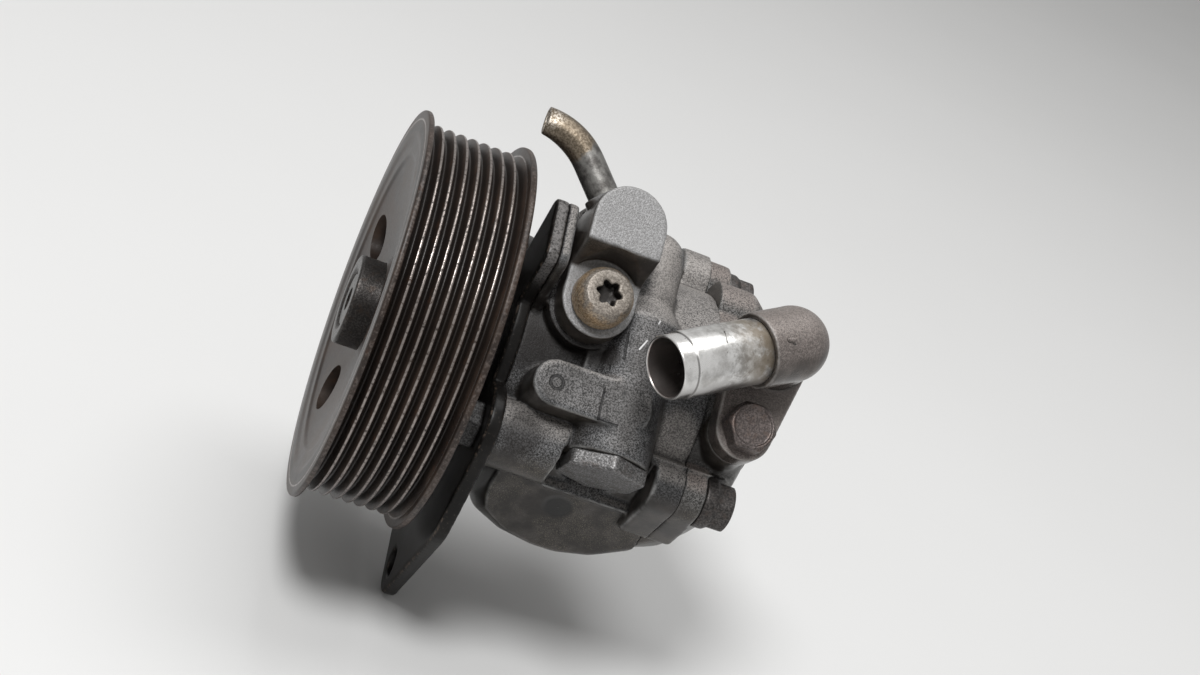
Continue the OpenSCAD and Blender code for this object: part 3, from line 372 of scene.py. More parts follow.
race_steel = plain_metal("ground_race_steel", (0.62, 0.62, 0.63), 0.22, lines=(6, 0.4, 0.4))
cage_bronze = plain_metal("pressed_bronze", (0.5, 0.34, 0.15), 0.34)
ring_steel = plain_metal("oiled_spring_steel", (0.2, 0.2, 0.205), 0.36)
seal_rubber = plain_metal("nitrile_rubber", (0.02, 0.02, 0.02), 0.6, metal=0.0, scratch=0.2)
finish_nodes(race_steel, "bearing_outer_race", "bearing_inner_race", "bearing_balls", "plate_dowels")
finish_nodes(cage_bronze, "bearing_cage", "rear_bush")
finish_nodes(ring_steel, "bearing_circlip", "shaft_snap_ring", "plate_spring")
finish_nodes(seal_rubber, "shaft_seal", "cover_o_ring", "plug_o_ring", "union_o_ring", "suction_o_ring")


# Drive shaft: ground steel, splined under the rotor, with a tapped hole in its nose for the screw that
# draws the pulley on. Only the nose shows, in the bore of the hub.
THREAD_HOLE = 3.4
THREAD_PITCH = 1.25


def threaded_steel(name, colour, hole, pitch):
    """Ground steel, stained, with the turns of a thread inside a hole along the shaft."""
    made, tree, shader = new_finish(name)
    place = step(tree, "TexCoord").outputs["Object"]
    along, reach = about(tree, place, (0, 0, 0), (1, 0, 0))
    inside = band(tree, reach, (hole + 0.4) * MM, (hole + 0.1) * MM)
    ridge = sums(tree, "SINE", times(tree, along, 2 * math.pi / (pitch * MM)))
    ground = grain(tree, place, 1.2, 4.0, 0.6)
    stain = band(tree, grain(tree, place, 0.3, 4.0, 0.65), 0.45, 0.65)
    tone = tint(tree, stain, colour, tuple(c * 0.35 for c in colour))
    tone = tint(tree, times(tree, inside, 0.6), tone, (0.03, 0.024, 0.02))
    turned_lines = relief(tree, ground, 0.04, 0.4)
    thread = times(tree, ridge, inside)
    connect(tree, shader, Base_Color=tone, Roughness=between(tree, ground, 0.25, 0.5),
            Normal=relief(tree, thread, 0.5, 1.0, turned_lines))
    shader.inputs["Metallic"].default_value = 1.0
    return made


shaft_steel = threaded_steel("ground_shaft_steel", (0.1, 0.095, 0.09), THREAD_HOLE, THREAD_PITCH)
finish_nodes(shaft_steel, "drive_shaft")


# Rotor set: two sintered side plates, the oval cam ring and the slotted rotor, lapped flat, with ten
# ground vanes loose in the slots. Two dowels line the plates up and a disc spring presses them together.
lapped_steel = plain_metal("lapped_sintered_steel", (0.36, 0.36, 0.37), 0.3, lines=(0.5, 1, 1))
vane_steel = plain_metal("ground_vane_steel", (0.58, 0.58, 0.59), 0.22, lines=(0.3, 1, 1))
finish_nodes(lapped_steel, "front_side_plate", "cam_ring", "rear_side_plate", "rotor")
finish_nodes(vane_steel, *["vane_%d" % k for k in range(1, 11)])


# Rear cover: the second aluminium casting, domed over the rotor chamber, with the suction port and the
# lug for the elbow cast on. It closes on a ring seal and is drawn up by four bolts.
CHAMBER_END = 97.3
BUSH_REACH = 8.6
BUSH_END = 106.5


def cover_hold(spots):
    """The joint face, the chamber and the bush's bore stay as they are cut."""
    x, y, z = spots.T
    keep = np.clip(abs(x - SPLIT_X) / JOINT_BAND, JOINT_HELD, 1)
    reach = np.hypot(y, z)
    keep[(reach < CHAMBER_REACH) & (x < CHAMBER_END)] = HELD
    keep[(reach < BUSH_REACH) & (x < BUSH_END)] = HELD
    return keep


cover = rounded(skin_of("rear_cover"), grid=0.5, passes=13, hold=cover_hold, most=110000)
cover_cast = sooty_casting("cover_cast", soot=(0.022, 0.0205, 0.019), skin_tone=(0.165, 0.16, 0.155),
                           bare=(0.4, 0.4, 0.39), dust=(0.32, 0.272, 0.247))
dress(cover, cover_cast, "housing", "cast_cover", "rear_cover")


# Cover bolts: four flanged hexagon bolts of blackened steel, their heads greasy and rubbed bright on the
# corners by the spanner. They draw the rear cover onto the housing.
BOLT_FLATS = 13.0
BOLT_HEAD = 5.28
BOLT_CIRCLE = 40.2
BOLT_SHANK = 3.98
BOLT_FLANGE = 4.0
COVER_SEAT = 89.54
COVER_BOLT_TURNS = (184.5, 281.5, 345.0, 47.0)


def turned(outline, around=96, ring=False):
    """Points and faces of a shape turned about Z. A radius may be a function of the angle."""
    points, faces = [], []
    angles = [2 * math.pi * k / around for k in range(around)]
    for radius, height in outline:
        for angle in angles:
            r = radius(angle) if callable(radius) else radius
            points.append((r * math.cos(angle), r * math.sin(angle), height))
    rows = len(outline)
    for row in range(rows if ring else rows - 1):
        low, high = row * around, (row + 1) % rows * around
        for k in range(around):
            n = (k + 1) % around
            faces.append((low + k, low + n, high + n, high + k))
    if not ring:
        faces.append(tuple(reversed(range(around))))
        faces.append(tuple((rows - 1) * around + k for k in range(around)))
    return points, faces


def axes(origin, x, y, z):
    """Where a turned shape stands: its own X, Y and Z as directions of the pump."""
    return Matrix((
        (x[0], y[0], z[0], origin[0]),
        (x[1], y[1], z[1], origin[1]),
        (x[2], y[2], z[2], origin[2]),
        (0, 0, 0, 1),
    ))


def made_of(name, shapes, crease=32):
    """One piece from turned shapes, each with the place where it stands, in mm."""
    shape = bmesh.new()
    for (points, faces), stands in shapes:
        corners = [shape.verts.new((stands @ Vector(point)) * MM) for point in points]
        for face in faces:
            shape.faces.new([corners[k] for k in face])
    bmesh.ops.remove_doubles(shape, verts=shape.verts, dist=1e-7)
    bmesh.ops.recalc_face_normals(shape, faces=shape.faces)
    mesh = bpy.data.meshes.new(name)
    shape.to_mesh(mesh)
    shape.free()
    thing = bpy.data.objects.new(name, mesh)
    bpy.context.scene.collection.objects.link(thing)
    mesh.polygons.foreach_set("use_smooth", [True] * len(mesh.polygons))
    mesh.set_sharp_from_angle(angle=math.radians(crease))
    return thing


def round_shaft(shape, seat, circle, turns, *stand):
    """The same shape at each of the turns, in degrees, on one circle about the shaft."""
    shapes = []
    for degrees in turns:
        turn = math.radians(degrees)
        foot = (seat, circle * math.cos(turn), circle * math.sin(turn))
        shapes.append((shape, axes(foot, *stand)))
    return shapes


def hexagon(flats, less=0.0):
    """Radius of a hexagon with slightly blunt corners."""
    def radius(angle):
        off = angle % (math.pi / 3) - math.pi / 6
        return min(flats / 2 / math.cos(off), flats / math.sqrt(3) * 0.975) - less
    return radius


def within(shape, limit):
    """Radius of a shape whose corners are turned down to a limit."""
    return lambda angle: min(shape(angle), limit)


def hex_head(flats, height, dish=0.25):
    """Outline of a hexagon head from its seat up: chamfered corners and a shallow dish on top."""
    full = hexagon(flats)
    rows = [(hexagon(flats, 0.25), 0.0), (full, 0.3), (full, height - flats * 0.11)]
    for k in range(7):
        up = height - flats * 0.11 * (1 - k / 6)
        rows.append((within(full, flats * (0.6 - 0.125 * (k / 6) ** 1.3)), up))
    rows += [(flats * 0.46, height), (flats * 0.435, height), (flats * 0.42, height - dish)]
    rows += [(flats * 0.2, height - dish)]
    return rows


def worn_steel(name, dark, tone, bright, rust, rough=0.42):
    """Blackened steel, greasy, with rust in patches and the coating rubbed off in places."""
    made, tree, shader = new_finish(name)
    place = step(tree, "TexCoord").outputs["Object"]
    pits = grain(tree, place, 1.8, 4.0, 0.7)
    cloud = grain(tree, place, 0.22, 5.0, 0.65)
    patch = grain(tree, place, 0.45, 4.0, 0.6)
    rub = step(tree, "Attribute", attribute_name="rub").outputs["Fac"]
    hollows = step(tree, "Attribute", attribute_name="hollows").outputs["Fac"]
    colour = tint(tree, band(tree, pits, 0.4, 0.66), dark, tone)
    colour = tint(tree, times(tree, band(tree, patch, 0.5, 0.68), 0.7), colour, rust)
    worn = times(tree, rub, band(tree, cloud, 0.34, 0.6))
    colour = tint(tree, times(tree, worn, 0.7), colour, bright)
    # Darker in the hollows of the surface.
    colour = tint(tree, times(tree, hollows, 0.8), colour, (0.01, 0.009, 0.008))
    connect(tree, shader, Base_Color=colour, Roughness=between(tree, pits, rough + 0.16, rough - 0.14),
            Normal=relief(tree, pits, 0.16, 0.5))
    shader.inputs["Metallic"].default_value = 0.75
    return made


dark_bolt = worn_steel("blackened_bolt", (0.034, 0.031, 0.03), (0.105, 0.097, 0.093),
                       (0.42, 0.4, 0.38), (0.065, 0.052, 0.046))
flanged = [
    (BOLT_SHANK, -14.0), (BOLT_SHANK, 0.0), (7.3, 0.0), (7.54, 0.3), (7.54, 3.2), (7.2, 3.8),
    (6.9, BOLT_FLANGE),
]
flanged += [(r, h + BOLT_FLANGE) for r, h in hex_head(BOLT_FLATS, BOLT_HEAD)]
bolts = round_shaft(turned(flanged), COVER_SEAT, BOLT_CIRCLE, COVER_BOLT_TURNS,
                    (0, 0, -1), (0, 1, 0), (1, 0, 0))
cover_bolts = rounded(made_of("cover_bolt_set", bolts), grid=0.33, passes=3)
dress(cover_bolts, dark_bolt, "housing", "fastener_steel", "cover_bolts")


# Control valve: a ground spool that slides in the valve boss against its spring, closed from below by a
# hexagon plug of dark steel on a ring seal. Only the plug shows, its flats scraped by a spanner.
PLUG_FLATS = 22.6
PLUG_HEIGHT = 4.5
PLUG_SEAT = -30.5
finish_nodes(race_steel, "valve_spool")
spring = skin_of("valve_spring")
dress(spring, ring_steel, "housing", "spring_steel", "valve_spring")
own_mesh(spring)
plug_steel = worn_steel("dark_plug_steel", (0.075, 0.073, 0.072), (0.29, 0.285, 0.285),
                        (0.45, 0.45, 0.44), (0.07, 0.058, 0.052), 0.42)
plug = [(6.2, -10.0), (7.7, -10.0), (8.0, -9.7), (8.0, -1.8), (6.2, -1.8), (6.2, -0.01)]
for less, height in ((0.25, 0.0), (0, 0.3), (0, 4.0), (0.2, 4.35), (0.6, PLUG_HEIGHT)):
    plug.append((hexagon(PLUG_FLATS, less), height))
plug.append((6.0, PLUG_HEIGHT))
plug_foot = at_port(VALVE_X, PLUG_SEAT, VALVE_OUT)
plug_stand = axes(plug_foot, (0, -HALF, HALF), (-1, 0, 0), (0, -HALF, -HALF))
plug_head = made_of("valve_plug_head", [(turned(plug, 120), plug_stand)])
plug_head = rounded(plug_head, grid=0.28, passes=2, most=40000)
dress(plug_head, plug_steel, "housing", "plug_steel", "valve_plug")


# Suction elbow: a small aluminium casting on the cover's port, held by one bolt, its skin dull and
# stained. A drawn aluminium tube is pressed into it, bright, with a narrower lip for the hose.
ELBOW_MIDDLE = at_port(95.04, 11.8, 56)
ELBOW_BOLT_SEAT = at_port(91.84, -12.5, 45)
TUBE_RUN = Vector((-0.8349, -0.5096, -0.2083)).normalized()
TUBE_BORE = 7.9
TUBE_END = 43.6
LIP_LENGTH = 4.5
CLEAN_LENGTH = 15
elbow = rounded(skin_of("suction_elbow"), grid=0.42, passes=14, most=70000)
elbow_cast = sooty_casting("elbow_cast", soot=(0.105, 0.09, 0.082), skin_tone=(0.24, 0.204, 0.19),
                           bare=(0.5, 0.48, 0.46), dust=(0.27, 0.235, 0.215),
                           oil_tone=(0.05, 0.042, 0.037), edge=0.2, gloss=(0.26, 0.4),
                           seams=[((88.6, -43.4, 52.9), (91.9, -42.4, 53.1), 0.35)])
dress(elbow, elbow_cast, "housing", "cast_elbow", "suction_elbow")
rib_from, rib_to = Vector((88.9, -42.7, 53.7)), Vector((91.7, -41.7, 53.9))
rib_run = (rib_to - rib_from).normalized()
rib_side = rib_run.cross(Vector((0.2, -0.64, 0.74))).normalized()
rib = [(0.02, 0.0), (0.5, 0.1), (0.85, 0.5), (0.85, 2.4), (0.5, 2.85), (0.02, 3.0)]
rib_stand = axes(rib_from, rib_side, rib_run.cross(rib_side), rib_run)
dress(made_of("elbow_casting_rib", [(turned(rib, 20), rib_stand)]), elbow_cast, "housing", "cast_elbow")


def drawn_aluminium(name, bright, dull, stain, stains_from, lip):
    """Drawn tube: fine rings from the die, dull spots, painted shade on the underside, brown dirt towards
    the joint.
    """
    made, tree, shader = new_finish(name)
    spot = step(tree, "TexCoord")
    place = spot.outputs["Object"]
    axis = vector(tree, "DOT_PRODUCT", place, tuple(TUBE_RUN), "Value")
    rings = grain(tree, step(tree, "CombineXYZ", {0: axis}).outputs[0], 2.2, 4.0, 0.7)
    cloud = grain(tree, place, 0.16, 5.0, 0.65)
    spots = grain(tree, place, 0.7, 4.0, 0.7)
    joint = band(tree, axis, stains_from * MM, (stains_from - 14) * MM)
    dirt = times(tree, joint, band(tree, cloud, 0.3, 0.52))
    blot = band(tree, grain(tree, place, 0.4, 5.0, 0.7), 0.44, 0.62)
    colour = tint(tree, band(tree, cloud, 0.38, 0.7), bright, dull)
    half_way = band(tree, axis, (stains_from + 7) * MM, (stains_from - 5) * MM)
    colour = tint(tree, times(tree, times(tree, half_way, blot), 0.6), colour, (0.18, 0.165, 0.15))
    colour = tint(tree, times(tree, dirt, 0.85), colour, stain)
    colour = tint(tree, times(tree, band(tree, spots, 0.64, 0.76), 0.75), colour, (0.05, 0.045, 0.04))
    reach = about(tree, place, ELBOW_MIDDLE, TUBE_RUN)[1]
    inside = band(tree, reach, (TUBE_BORE + 0.2) * MM, (TUBE_BORE + 0.05) * MM)
    colour = tint(tree, times(tree, inside, 0.9), colour, (0.4, 0.35, 0.33))
    scratch = stroke(tree, place, (71.0, -46.1, 51.2), (71.9, -49.8, 50.2), 0.28)
    colour = tint(tree, scratch, colour, (0.06, 0.055, 0.05))
    from_lip = sums(tree, "ABSOLUTE", sums(tree, "SUBTRACT", axis, lip * MM))
    # Painted shade: a dark line at the step before the lip.
    groove_shade = times(tree, band(tree, from_lip, 0.3 * MM, 0.1 * MM), band(tree, reach, 8.3 * MM, 8.5 * MM))
    colour = tint(tree, times(tree, groove_shade, 0.7), colour, (0.08, 0.075, 0.07))
    # Painted shade: darker from the upper side of the tube down to its underside.
    looks_up = vector(tree, "DOT_PRODUCT", spot.outputs["Normal"], (0, -0.45, 0.893), "Value")
    shaded_underside = band(tree, sums(tree, "ADD", looks_up, between(tree, cloud, -0.25, 0.25)), 0.6, -0.2)
    colour = tint(tree, times(tree, shaded_underside, 0.85), colour, (0.15, 0.14, 0.133))
    rough = sums(tree, "ADD", between(tree, cloud, 0.22, 0.36), times(tree, dirt, 0.25))
    connect(tree, shader, Base_Color=colour, Roughness=rough,
            Normal=relief(tree, spots, 0.06, 0.35, relief(tree, rings, 0.03, 0.5)))
    shader.inputs["Metallic"].default_value = 0.92
    return made


tube_side = TUBE_RUN.cross(Vector((0, -HALF, HALF))).normalized()
tube = [
    (TUBE_BORE, 8.05), (8.58, 8.05), (8.58, 13.3), (8.9, 13.35), (9.1, 13.8), (9.1, 38.6), (9.02, 38.9),
    (8.72, 39.15), (8.7, 39.4), (8.7, 43.1), (8.6, 43.45), (8.4, 43.58), (8.15, 43.58), (7.97, 43.4),
    (TUBE_BORE, 43.0),
]
tube_stand = axes(ELBOW_MIDDLE, tube_side, TUBE_RUN.cross(tube_side), TUBE_RUN)
along_mouth = ELBOW_MIDDLE.dot(TUBE_RUN) + TUBE_END
bright_tube = drawn_aluminium("drawn_aluminium", (0.8, 0.795, 0.785), (0.46, 0.45, 0.435),
                              (0.23, 0.185, 0.13), along_mouth - CLEAN_LENGTH, along_mouth - LIP_LENGTH)
dress(made_of("suction_tube_drawn", [(turned(tube, 128, ring=True), tube_stand)], 50),
      bright_tube, "housing", "bright_tube", "suction_tube")
bolt = [(BOLT_SHANK, -13.0), (BOLT_SHANK, 0.0)] + hex_head(BOLT_FLATS, BOLT_HEAD + 0.7, 0.5)
bolt_stand = axes(ELBOW_BOLT_SEAT, (1, 0, 0), (0, HALF, HALF), (0, -HALF, HALF))
elbow_bolt = made_of("elbow_bolt_head", [(turned(bolt), bolt_stand)])
elbow_bolt = rounded(elbow_bolt, grid=0.22, passes=2, most=36000)
brown_bolt = worn_steel("browned_bolt", (0.066, 0.055, 0.052), (0.18, 0.153, 0.145),
                        (0.5, 0.47, 0.44), (0.12, 0.086, 0.072))
dress(elbow_bolt, brown_bolt, "housing", "fastener_steel", "elbow_bolt")


# Pressure union: a cast block on the pressure port with a bevelled head, held by one pan-head bolt that
# has gone brown with rust. The steel pipe leaves it sideways and ends where it was cut and pinched.
PAN_SEAT = at_port(41.84, 8.3, 46)
PAN_SHANK = 4.98
PAN_RIM = 8.3
PAN_TOP = 8.6
DOME_MIDDLE = 4.316
DOME_FOOT = 3.4
DOME_END = 63
OUT_OF_PORT = Vector((0, -HALF, HALF))
PIPE_CUT = (13.3, 3.0, 73.0)
YELLOW_REACH = 16
union = rounded(skin_of("pressure_union"), grid=0.4, passes=6, most=65000)
union_cast = sooty_casting("union_cast", soot=(0.185, 0.182, 0.181), skin_tone=(0.325, 0.323, 0.327),
                           bare=(0.43, 0.43, 0.425), dust=(0.3, 0.295, 0.29),
                           oil_tone=(0.036, 0.03, 0.026), edge=0.12, gloss=(0.3, 0.44))
dress(union, union_cast, "housing", "cast_union", "pressure_union")


def lobes(less=0.0):
    """Radius of the star in the bolt's head."""
    return lambda angle: 3.15 + 0.58 * math.cos(6 * angle) - less


pan = [(PAN_SHANK, -24.0), (PAN_SHANK, 0.0), (7.6, 0.0), (8.1, 0.2), (PAN_RIM, 0.6), (PAN_RIM, 3.3)]
for degrees in range(5, DOME_END + 1, 5):
    turn = math.radians(degrees)
    rise = (PAN_TOP - DOME_FOOT) * math.sin(turn) / math.sin(math.radians(DOME_END))
    pan.append((DOME_MIDDLE + (PAN_RIM - DOME_MIDDLE) * math.cos(turn), DOME_FOOT + rise))
pan += [(5.0, PAN_TOP), (lobes(-0.3), PAN_TOP), (lobes(-0.05), 8.4)]
pan += [(lobes(0.1), 5.1), (lobes(0.5), 4.8), (1.2, 4.65)]


def rusty_pan_head(name):
    """Zinc gone brown: rust round the rim, a paler worn middle, black in the star and painted shade at the
    foot.
    """
    made, tree, shader = new_finish(name)
    place = step(tree, "TexCoord").outputs["Object"]
    level, reach = about(tree, place, PAN_SEAT, OUT_OF_PORT)
    pits = grain(tree, place, 1.9, 4.0, 0.7)
    patch = grain(tree, place, 0.4, 4.0, 0.6)
    uneven = sums(tree, "ADD", reach, between(tree, patch, -2.2 * MM, 2.2 * MM))
    colour = tint(tree, band(tree, pits, 0.36, 0.66), (0.21, 0.13, 0.068), (0.58, 0.43, 0.27))
    pale = tint(tree, band(tree, pits, 0.36, 0.66), (0.125, 0.107, 0.088), (0.33, 0.295, 0.258))
    colour = tint(tree, band(tree, uneven, 8.8 * MM, 6.4 * MM), colour, pale)
    star = times(tree, band(tree, reach, 4.1 * MM, 3.9 * MM), band(tree, level, 8.35 * MM, 7.6 * MM))
    colour = tint(tree, star, colour, (0.02, 0.017, 0.015))
    # Painted shade: dark where the head meets its seat.
    foot = band(tree, level, 1.6 * MM, 0.3 * MM)
    colour = tint(tree, times(tree, foot, 0.8), colour, (0.02, 0.014, 0.01))
    connect(tree, shader, Base_Color=colour, Roughness=between(tree, pits, 0.5, 0.3),
            Normal=relief(tree, pits, 0.14, 0.45))
    shader.inputs["Metallic"].default_value = 0.4
    return made


pan_stand = axes(PAN_SEAT, (1, 0, 0), (0, HALF, HALF), OUT_OF_PORT)
pan_bolt = rounded(made_of("union_pan_bolt", [(turned(pan, 144), pan_stand)]), grid=0.22, passes=4)
dress(pan_bolt, rusty_pan_head("rusty_pan_head"), "housing", "rusty_bolt", "union_bolt")


def cut_pipe_steel(name, tip, reach):
    """Dull steel pipe, yellowed and scraped bright towards the cut."""
    made, tree, shader = new_finish(name)
    place = step(tree, "TexCoord").outputs["Object"]
    away = vector(tree, "DISTANCE", place, tuple(Vector(tip) * MM), "Value")
    pits = grain(tree, place, 1.5, 4.0, 0.7)
    cloud = grain(tree, place, 0.3, 5.0, 0.65)
    colour = tint(tree, band(tree, cloud, 0.4, 0.66), (0.2, 0.195, 0.185), (0.075, 0.07, 0.066))
    ragged = sums(tree, "ADD", away, between(tree, cloud, -2.5 * MM, 2.5 * MM))
    yellowed = tint(tree, band(tree, pits, 0.4, 0.64), (0.1, 0.079, 0.056), (0.22, 0.182, 0.138))
    colour = tint(tree, band(tree, ragged, reach * MM, (reach - 1.5) * MM), colour, yellowed)
    edge = times(tree, band(tree, away, 6.5 * MM, 3.5 * MM), band(tree, pits, 0.44, 0.6))
    colour = tint(tree, edge, colour, (0.38, 0.345, 0.3))
    connect(tree, shader, Base_Color=colour, Roughness=between(tree, cloud, 0.3, 0.55),
            Normal=relief(tree, pits, 0.14, 0.5))
    shader.inputs["Metallic"].default_value = 0.85
    return made


pipe = rounded(skin_of("pressure_pipe"), grid=0.3, passes=7)
pipe_steel = cut_pipe_steel("cut_pipe_steel", PIPE_CUT, YELLOW_REACH)
dress(pipe, pipe_steel, "housing", "pipe_steel", "pressure_pipe")


# Mounting plate: cut from 4 mm steel sheet, painted glossy black, chipped along its edges. Three screws
# hold it to the front of the housing, and the ear below takes the bolt of the bracket.
PLATE_FRONT = 22.54
PLATE_SCREW_TURNS = (184.5, 294.5, 4.5)


def chipped_paint(name, paint, bare, rough):
    """Black paint, chipped on its edges, with dust on the high part of the rim."""
    made, tree, shader = new_finish(name)
    spot = step(tree, "TexCoord")
    place = spot.outputs["Object"]
    chips = grain(tree, place, 0.5, 5.0, 0.7)
    cloud = grain(tree, place, 0.07, 5.0, 0.6)
    dust = grain(tree, place, 1.4, 3.0, 0.7)
    rub = step(tree, "Attribute", attribute_name="rub").outputs["Fac"]
    gone = times(tree, band(tree, rub, 0.15, 0.7), band(tree, chips, 0.5, 0.62))
    colour = tint(tree, band(tree, cloud, 0.4, 0.7), paint, tuple(c * 2.4 for c in paint))
    colour = tint(tree, times(tree, band(tree, dust, 0.6, 0.74), 0.35), colour, (0.13, 0.11, 0.09))
    colour = tint(tree, gone, colour, bare)
    sideways = step(tree, "SeparateXYZ", {0: spot.outputs["Normal"]}).outputs["X"]
    rim = band(tree, sums(tree, "ABSOLUTE", sideways), 0.6, 0.3)
    high = band(tree, step(tree, "SeparateXYZ", {0: place}).outputs["Z"], 33 * MM, 41 * MM)
    paler_on_top = times(tree, times(tree, rim, high), band(tree, dust, 0.3, 0.6))
    colour = tint(tree, paler_on_top, colour, (0.15, 0.142, 0.138))
    uneven = sums(tree, "ADD", between(tree, cloud, rough, rough + 0.16), times(tree, gone, 0.25))
    connect(tree, shader, Base_Color=colour, Roughness=uneven,
            Normal=relief(tree, chips, 0.1, 0.3, relief(tree, gone, -0.08, 0.8)))
    shader.inputs["Metallic"].default_value = 0.1
    shader.inputs["Specular IOR Level"].default_value = 0.16
    return made


plate = rounded(skin_of("mounting_plate"), grid=0.5, passes=7, most=75000)
plate_paint = chipped_paint("chipped_black_paint", (0.006, 0.0054, 0.005), (0.13, 0.1, 0.08), 0.27)
dress(plate, plate_paint, "housing", "plate_paint", "mounting_plate")
screw = [(BOLT_SHANK, -20.0), (BOLT_SHANK, 0.0)] + hex_head(BOLT_FLATS, BOLT_HEAD)
screws = round_shaft(turned(screw), PLATE_FRONT, BOLT_CIRCLE, PLATE_SCREW_TURNS,
                     (0, 0, 1), (0, 1, 0), (-1, 0, 0))
sooty_screw = worn_steel("sooty_screw", (0.022, 0.021, 0.021), (0.085, 0.084, 0.084),
                         (0.2, 0.2, 0.2), (0.03, 0.028, 0.026))
plate_screws = rounded(made_of("plate_screw_set", screws), grid=0.33, passes=3, most=36000)
dress(plate_screws, sooty_screw, "housing", "fastener_steel", "plate_screws")


# Hub: a turned steel sleeve pressed onto the shaft, blackened, with bevelled ends. The web of the pulley
# is pressed onto it.
HUB_BORE, HUB_OUT, HUB_BACK = 8.52, 13.25, 17.04
SHAFT_AXES = ((0, 1, 0), (0, 0, 1), (1, 0, 0))
TURNED_ON_SHAFT = axes((0, 0, 0), *SHAFT_AXES)


def soften(corners, steps=4):
    """A closed outline with its corners rounded; each corner is radius, height and roundness."""
    done = []
    for k, (r, h, round_by) in enumerate(corners):
        here = Vector((r, h))
        back = Vector(corners[k - 1][:2]) - here
        on = Vector(corners[(k + 1) % len(corners)][:2]) - here
        reach = min(round_by, back.length * 0.48, on.length * 0.48)
        start, end = here + back.normalized() * reach, here + on.normalized() * reach
        for n in range(steps + 1):
            t = n / steps
            done.append(tuple(start * (1 - t) ** 2 + here * 2 * t * (1 - t) + end * t * t))
    return done


hub_outline = soften([
    (HUB_BORE, HUB_BACK, 0.3), (HUB_BORE, -17.6, 0.3), (9.5, -18.6, 0.3), (12.85, -18.64, 0.2),
    (HUB_OUT, -18.24, 0.2), (HUB_OUT, HUB_BACK, 0.4),
])
hub_black = worn_steel("blackened_hub", (0.026, 0.0235, 0.022), (0.075, 0.069, 0.066), (0.3, 0.29, 0.28),
                       (0.05, 0.036, 0.028), 0.36)
hub = made_of("pulley_hub_turned", [(turned(list(reversed(hub_outline)), 128, ring=True), TURNED_ON_SHAFT)])
dress(rounded(hub, grid=0.36, passes=1), hub_black, "shaft", "hub_steel", "pulley_hub")


# Pulley: spun from steel sheet, eight belt grooves rolled into the rim, a flange on each side and four
# round holes in the dished web. The black paint is oily and brown; the belt has rubbed the ridges bright.
PITCH = 3.56
GROOVES = 8
BELT = GROOVES * PITCH
RIDGE, VALLEY, FLANGE, RIM_IN = 55.3, 52.5, 58.3, 49.0
FRONT, BACK = -BELT / 2 - 1.7, BELT / 2 + 2.0
WEB = FRONT + 1.5
DISH = 5.0
WEB_BORE = 13.27
WEB_HOLE = 7.25
WEB_HOLE_CIRCLE = 33.6
WEB_HOLE_TURNS = [280 + 90 * k for k in range(4)]
RIDGE_HALF = 0.35
PULLEY_CREASE = 40
corners = [
    (WEB_BORE, WEB + DISH - 2.0, 0.3), (15.75, WEB + DISH, 2.2), (RIM_IN - 5, WEB, 1.2),
    (RIM_IN - 4, WEB - 0.8, 1.0), (RIM_IN, WEB - 0.8, 1.2), (RIM_IN + 2, FRONT, 0.9),
    (FLANGE, FRONT, 0.8), (FLANGE, -BELT / 2, 0.6),
]
for k in range(GROOVES):
    x = -BELT / 2 + k * PITCH
    near = 0.0 if k == 0 else RIDGE_HALF
    far = 0.0 if k == GROOVES - 1 else RIDGE_HALF
    corners += [
        (RIDGE, x + near, 0.3), (VALLEY, x + PITCH / 2 - 0.3, 0.3),
        (VALLEY, x + PITCH / 2 + 0.3, 0.3), (RIDGE, x + PITCH - far, 0.3),
    ]
corners += [
    (FLANGE, BELT / 2, 0.6), (FLANGE, BACK, 0.8), (RIM_IN, BACK, 0.8), (RIM_IN, WEB + 6.5, 2.0),
    (RIM_IN - 3, WEB + 3.5, 2.0), (WEB_BORE, WEB + DISH + 3.5, 0.4),
]
spun = turned(list(reversed(soften(corners, 3))), 220, ring=True)
pulley = made_of("pulley_spun", [(spun, TURNED_ON_SHAFT)], PULLEY_CREASE)
punch = turned([(WEB_HOLE, -6.0), (WEB_HOLE, 9.0)], 64)
punches = made_of("web_punches", round_shaft(punch, WEB, WEB_HOLE_CIRCLE, WEB_HOLE_TURNS, *SHAFT_AXES))
holes = pulley.modifiers.new("holes", "BOOLEAN")
holes.operation = "DIFFERENCE"
holes.object = punches
settle(pulley)
bpy.data.objects.remove(punches)


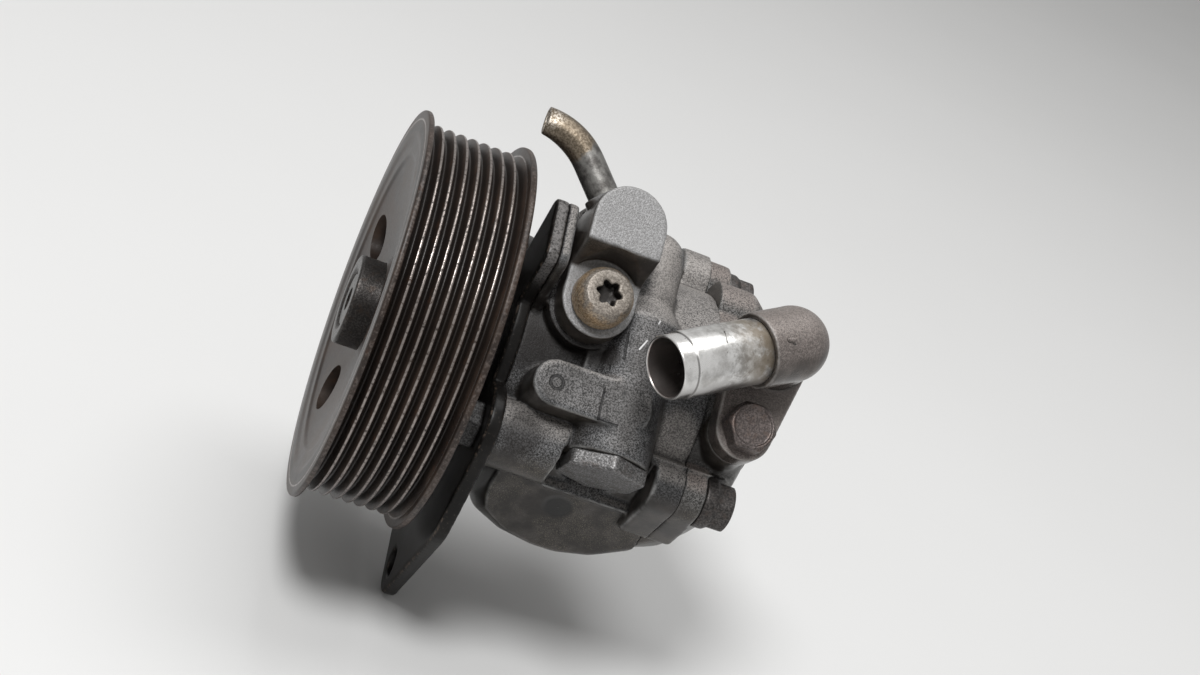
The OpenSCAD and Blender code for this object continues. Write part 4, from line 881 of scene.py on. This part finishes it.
def oily_pulley_paint(name):
    """Brown, oily paint: black in the grooves, rubbed off the ridges and the edge of the flanges."""
    made, tree, shader = new_finish(name)
    place = step(tree, "TexCoord").outputs["Object"]
    reach = about(tree, place, (0, 0, 0), (1, 0, 0))[1]
    def ring(start, full):
        return band(tree, reach, start * MM, full * MM)
    beads = grain(tree, place, 0.9, 3.0, 0.7)
    cloud = grain(tree, place, 0.06, 5.0, 0.62)
    rust = grain(tree, place, 0.28, 5.0, 0.68)
    ridge = times(tree, ring(RIDGE - 0.16, RIDGE - 0.02), ring(RIDGE + 0.6, RIDGE + 0.1))
    ridge = times(tree, ridge, band(tree, beads, 0.3, 0.56))
    rim = times(tree, ring(FLANGE - 0.2, FLANGE - 0.02), band(tree, beads, 0.46, 0.62))
    valley = ring(RIDGE - 0.4, VALLEY + 0.9)
    outside = ring(VALLEY - 1.0, VALLEY - 0.3)
    colour = tint(tree, band(tree, cloud, 0.38, 0.66), (0.02, 0.0138, 0.0112), (0.046, 0.031, 0.0235))
    colour = tint(tree, times(tree, band(tree, rust, 0.54, 0.7), 0.5), colour, (0.06, 0.03, 0.017))
    black = times(tree, times(tree, valley, outside), 0.85)
    colour = tint(tree, black, colour, (0.0095, 0.007, 0.006))
    colour = tint(tree, times(tree, ridge, 0.8), colour, (0.36, 0.32, 0.3))
    colour = tint(tree, times(tree, rim, 0.45), colour, (0.17, 0.14, 0.125))
    metal = sums(tree, "ADD", 0.1, times(tree, ridge, 0.8))
    gloss = sums(tree, "ADD", times(tree, cloud, 0.6), times(tree, beads, 0.4))
    rough = sums(tree, "SUBTRACT", between(tree, gloss, 0.24, 0.56), times(tree, ridge, 0.12))
    connect(tree, shader, Base_Color=colour, Metallic=metal, Roughness=rough,
            Normal=relief(tree, beads, 0.14, 0.4, relief(tree, rust, 0.12, 0.25)))
    shader.inputs["Specular IOR Level"].default_value = 0.35
    return made


dress(pulley, oily_pulley_paint("oily_pulley_paint"), "shaft", "pulley_paint", "pulley")
pulley.data.polygons.foreach_set("use_smooth", [True] * len(pulley.data.polygons))
pulley.data.set_sharp_from_angle(angle=math.radians(PULLEY_CREASE))


# Studio: a plain pale floor under the ear, an even pale room and two broad lamps, seen by a camera that
# stands where the photograph was taken.
LOWEST = -81.4
bpy.ops.mesh.primitive_plane_add(size=30, location=(0, 0, LOWEST * MM))
floor = bpy.context.object
floor.name = "floor"
made, tree, shader = new_finish("pale_floor")
place = step(tree, "TexCoord").outputs["Object"]
patch = grain(tree, place, 0.004, 3.0, 0.5)
connect(tree, shader, Base_Color=tint(tree, patch, (0.76, 0.76, 0.755), (0.8, 0.8, 0.795)))
shader.inputs["Roughness"].default_value = 0.6
shader.inputs["Specular IOR Level"].default_value = 0.3
floor.data.materials.append(made)

world = bpy.data.worlds.new("pale_room")
bpy.context.scene.world = world
world.use_nodes = True
sky = world.node_tree
rays = step(sky, "LightPath")
seen = sums(sky, "MAXIMUM", rays.outputs["Is Camera Ray"],
            sums(sky, "MAXIMUM", rays.outputs["Is Glossy Ray"], rays.outputs["Is Transmission Ray"]))
sky.links.new(between(sky, seen, 0.3, 0.6), sky.nodes["Background"].inputs["Strength"])
sky.nodes["Background"].inputs["Color"].default_value = (1, 0.995, 0.985, 1)

ahead = Vector((0.2454, 0.8750, -0.4173)).normalized()
across = ahead.cross(Vector((-0.3268, 0.4800, 0.8141))).normalized()
upward = across.cross(ahead)
seat = Vector((-75.17, -460.96, 235.13)) * MM
middle = Vector((35, -8, 0)) * MM


def lamp(name, place, size, watts):
    light = bpy.data.lights.new(name, "AREA")
    light.shape = "DISK"
    light.size = size
    light.energy = watts
    holder = bpy.data.objects.new(name, light)
    bpy.context.scene.collection.objects.link(holder)
    holder.location = place
    holder.rotation_euler = (middle - place).to_track_quat("-Z", "Y").to_euler()


lamp("key", middle + across * 0.2 + upward * 1.0 - ahead * 1.2, 0.5, 17)
lamp("top", middle + Vector((0.2, 0.3, 1.5)), 0.9, 8)

lens = bpy.data.cameras.new("photo")
lens.lens = 54
lens.sensor_width = 36
lens.clip_start = 0.01
camera = bpy.data.objects.new("photo", lens)
bpy.context.scene.collection.objects.link(camera)
camera.matrix_world = axes(seat, across, upward, -ahead)
bpy.context.scene.camera = camera
bpy.context.scene.view_settings.view_transform = "Standard"
